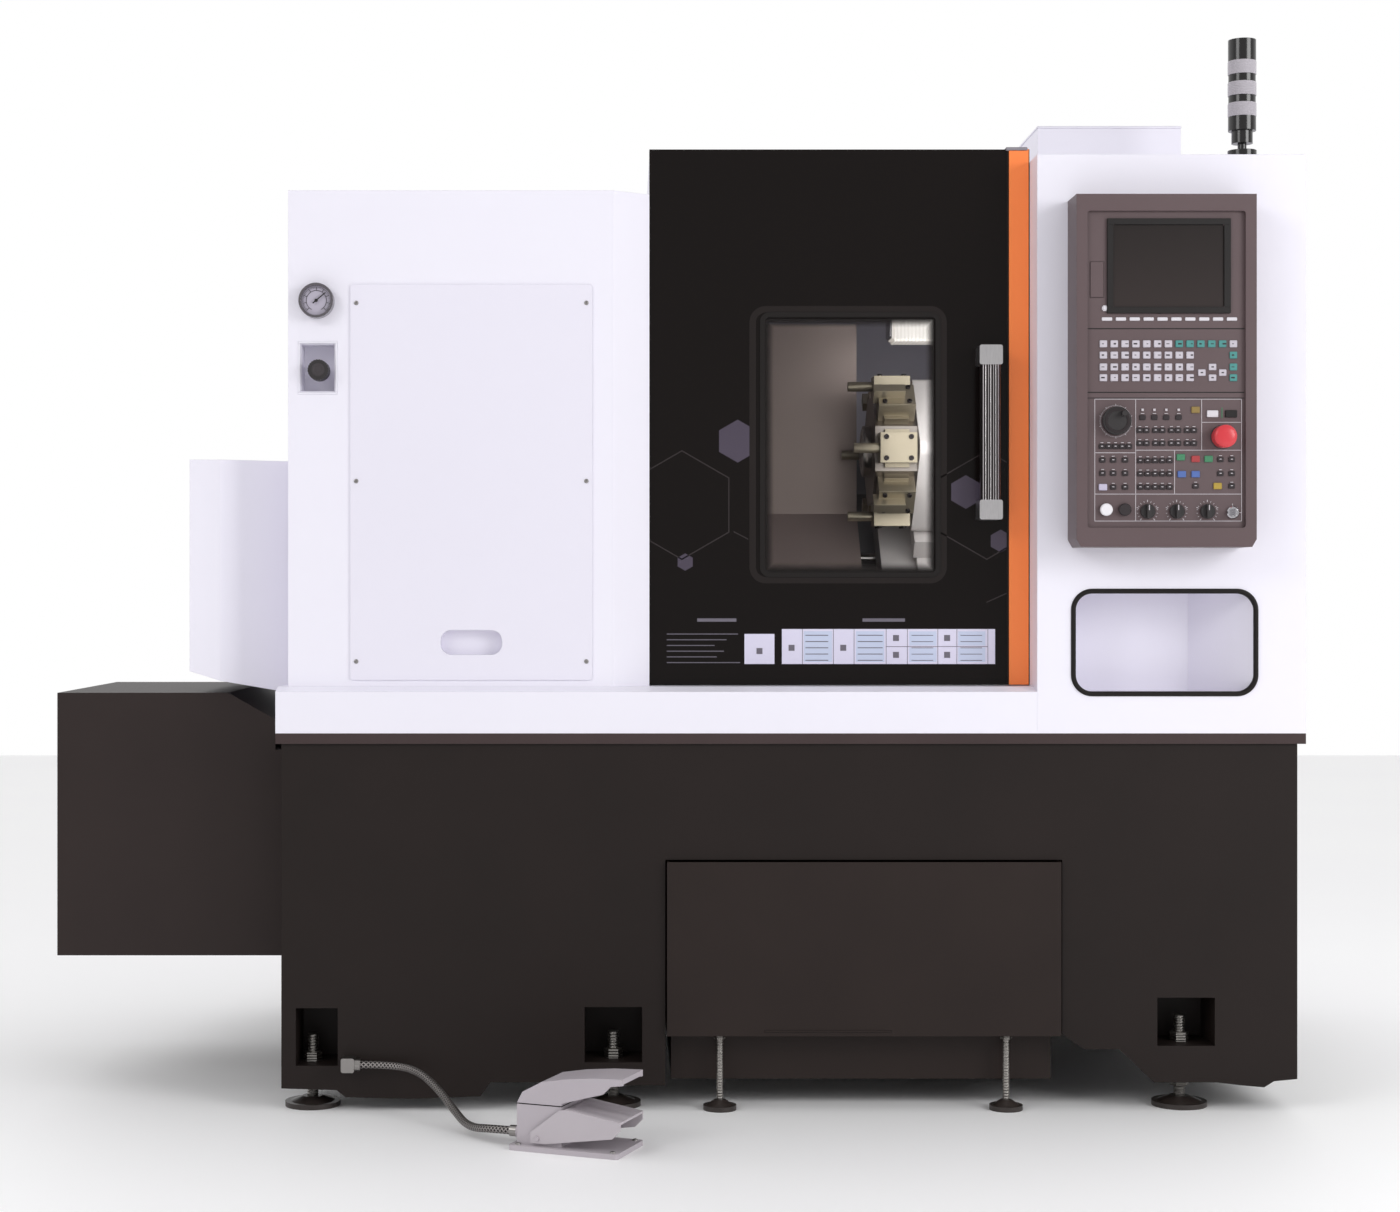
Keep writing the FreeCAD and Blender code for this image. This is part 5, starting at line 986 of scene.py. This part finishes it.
air_slots("right_cabinet_slots", right_high.x, 1, right_high.y - 0.54, right_high.y - 0.20,
          right_low.z + 0.20, 10, 0.024)

# ---- Foot pedal ----------------------------------------------------------------------------
# Cast aluminium pedal in pinkish grey enamel, worn at its edges. A dark gasket line parts the hood
# from the switch box, and the treadle's top is ribbed so that a shoe doesn't slip.
cast_enamel = grained("pinkish_grey_cast_enamel", "#BFB8BE", "#ADA5AC", 0.45, 2.5, 0.08)
dress("pedal_body", cast_enamel)
ribbed = grained("ribbed_tread_enamel", "#C2BBC0", "#B2ABB1", 0.45, 2.5, 0.05)
tree = ribbed.node_tree
where = node(tree, "TexCoord").outputs["Object"]
PEDAL_TURN = math.radians(-22)
aligned = node(tree, "Mapping", {"Vector": where, "Rotation": (0, 0, -PEDAL_TURN)})
RIB_MM = 6.0
rows = node(tree, "TexWave", {"Vector": aligned.outputs[0], "Scale": 1000 / RIB_MM / 20},
            bands_direction="Y")
tread = node(tree, "Bump", {"Height": rows.outputs["Fac"], "Distance": 0.0012})
tree.links.new(tread.outputs[0], tree.nodes["Principled BSDF"].inputs["Normal"])
dress("pedal_treadle", ribbed)
hose_end = HOSE_START + Vector(HOSE_STEPS[-1])
turn = Matrix.Rotation(PEDAL_TURN, 4, "Z")
pedal_place = Matrix.Translation(hose_end + turn @ Vector((0, 0.020, -0.024))) @ turn
gasket = slab(bmesh.new(), (0.0095, -0.0465, 0.0765), (0.0925, 0.0465, 0.0782), 0.0003)
gasket.transform(pedal_place)
finished("pedal_gasket", gasket, black_rubber, "root")
ferrule = turned(bmesh.new(), (-0.014, -0.020, 0.024), (1, 0, 0),
                 [(0.0073, 0), (0.0095, 0.001), (0.0095, 0.0135), (0.0073, 0.0138)], 24)
ferrule.transform(pedal_place)
finished("pedal_hose_ferrule", ferrule, gland_metal, "root")
local = [(0.014, -0.050, 0.009), (0.014, 0.050, 0.009), (0.186, -0.050, 0.009), (0.186, 0.050, 0.009)]
button_screws("pedal_base_screws", [pedal_place @ Vector(p) for p in local], 0.005, (0, 0, 1), "root",
              screw_steel)
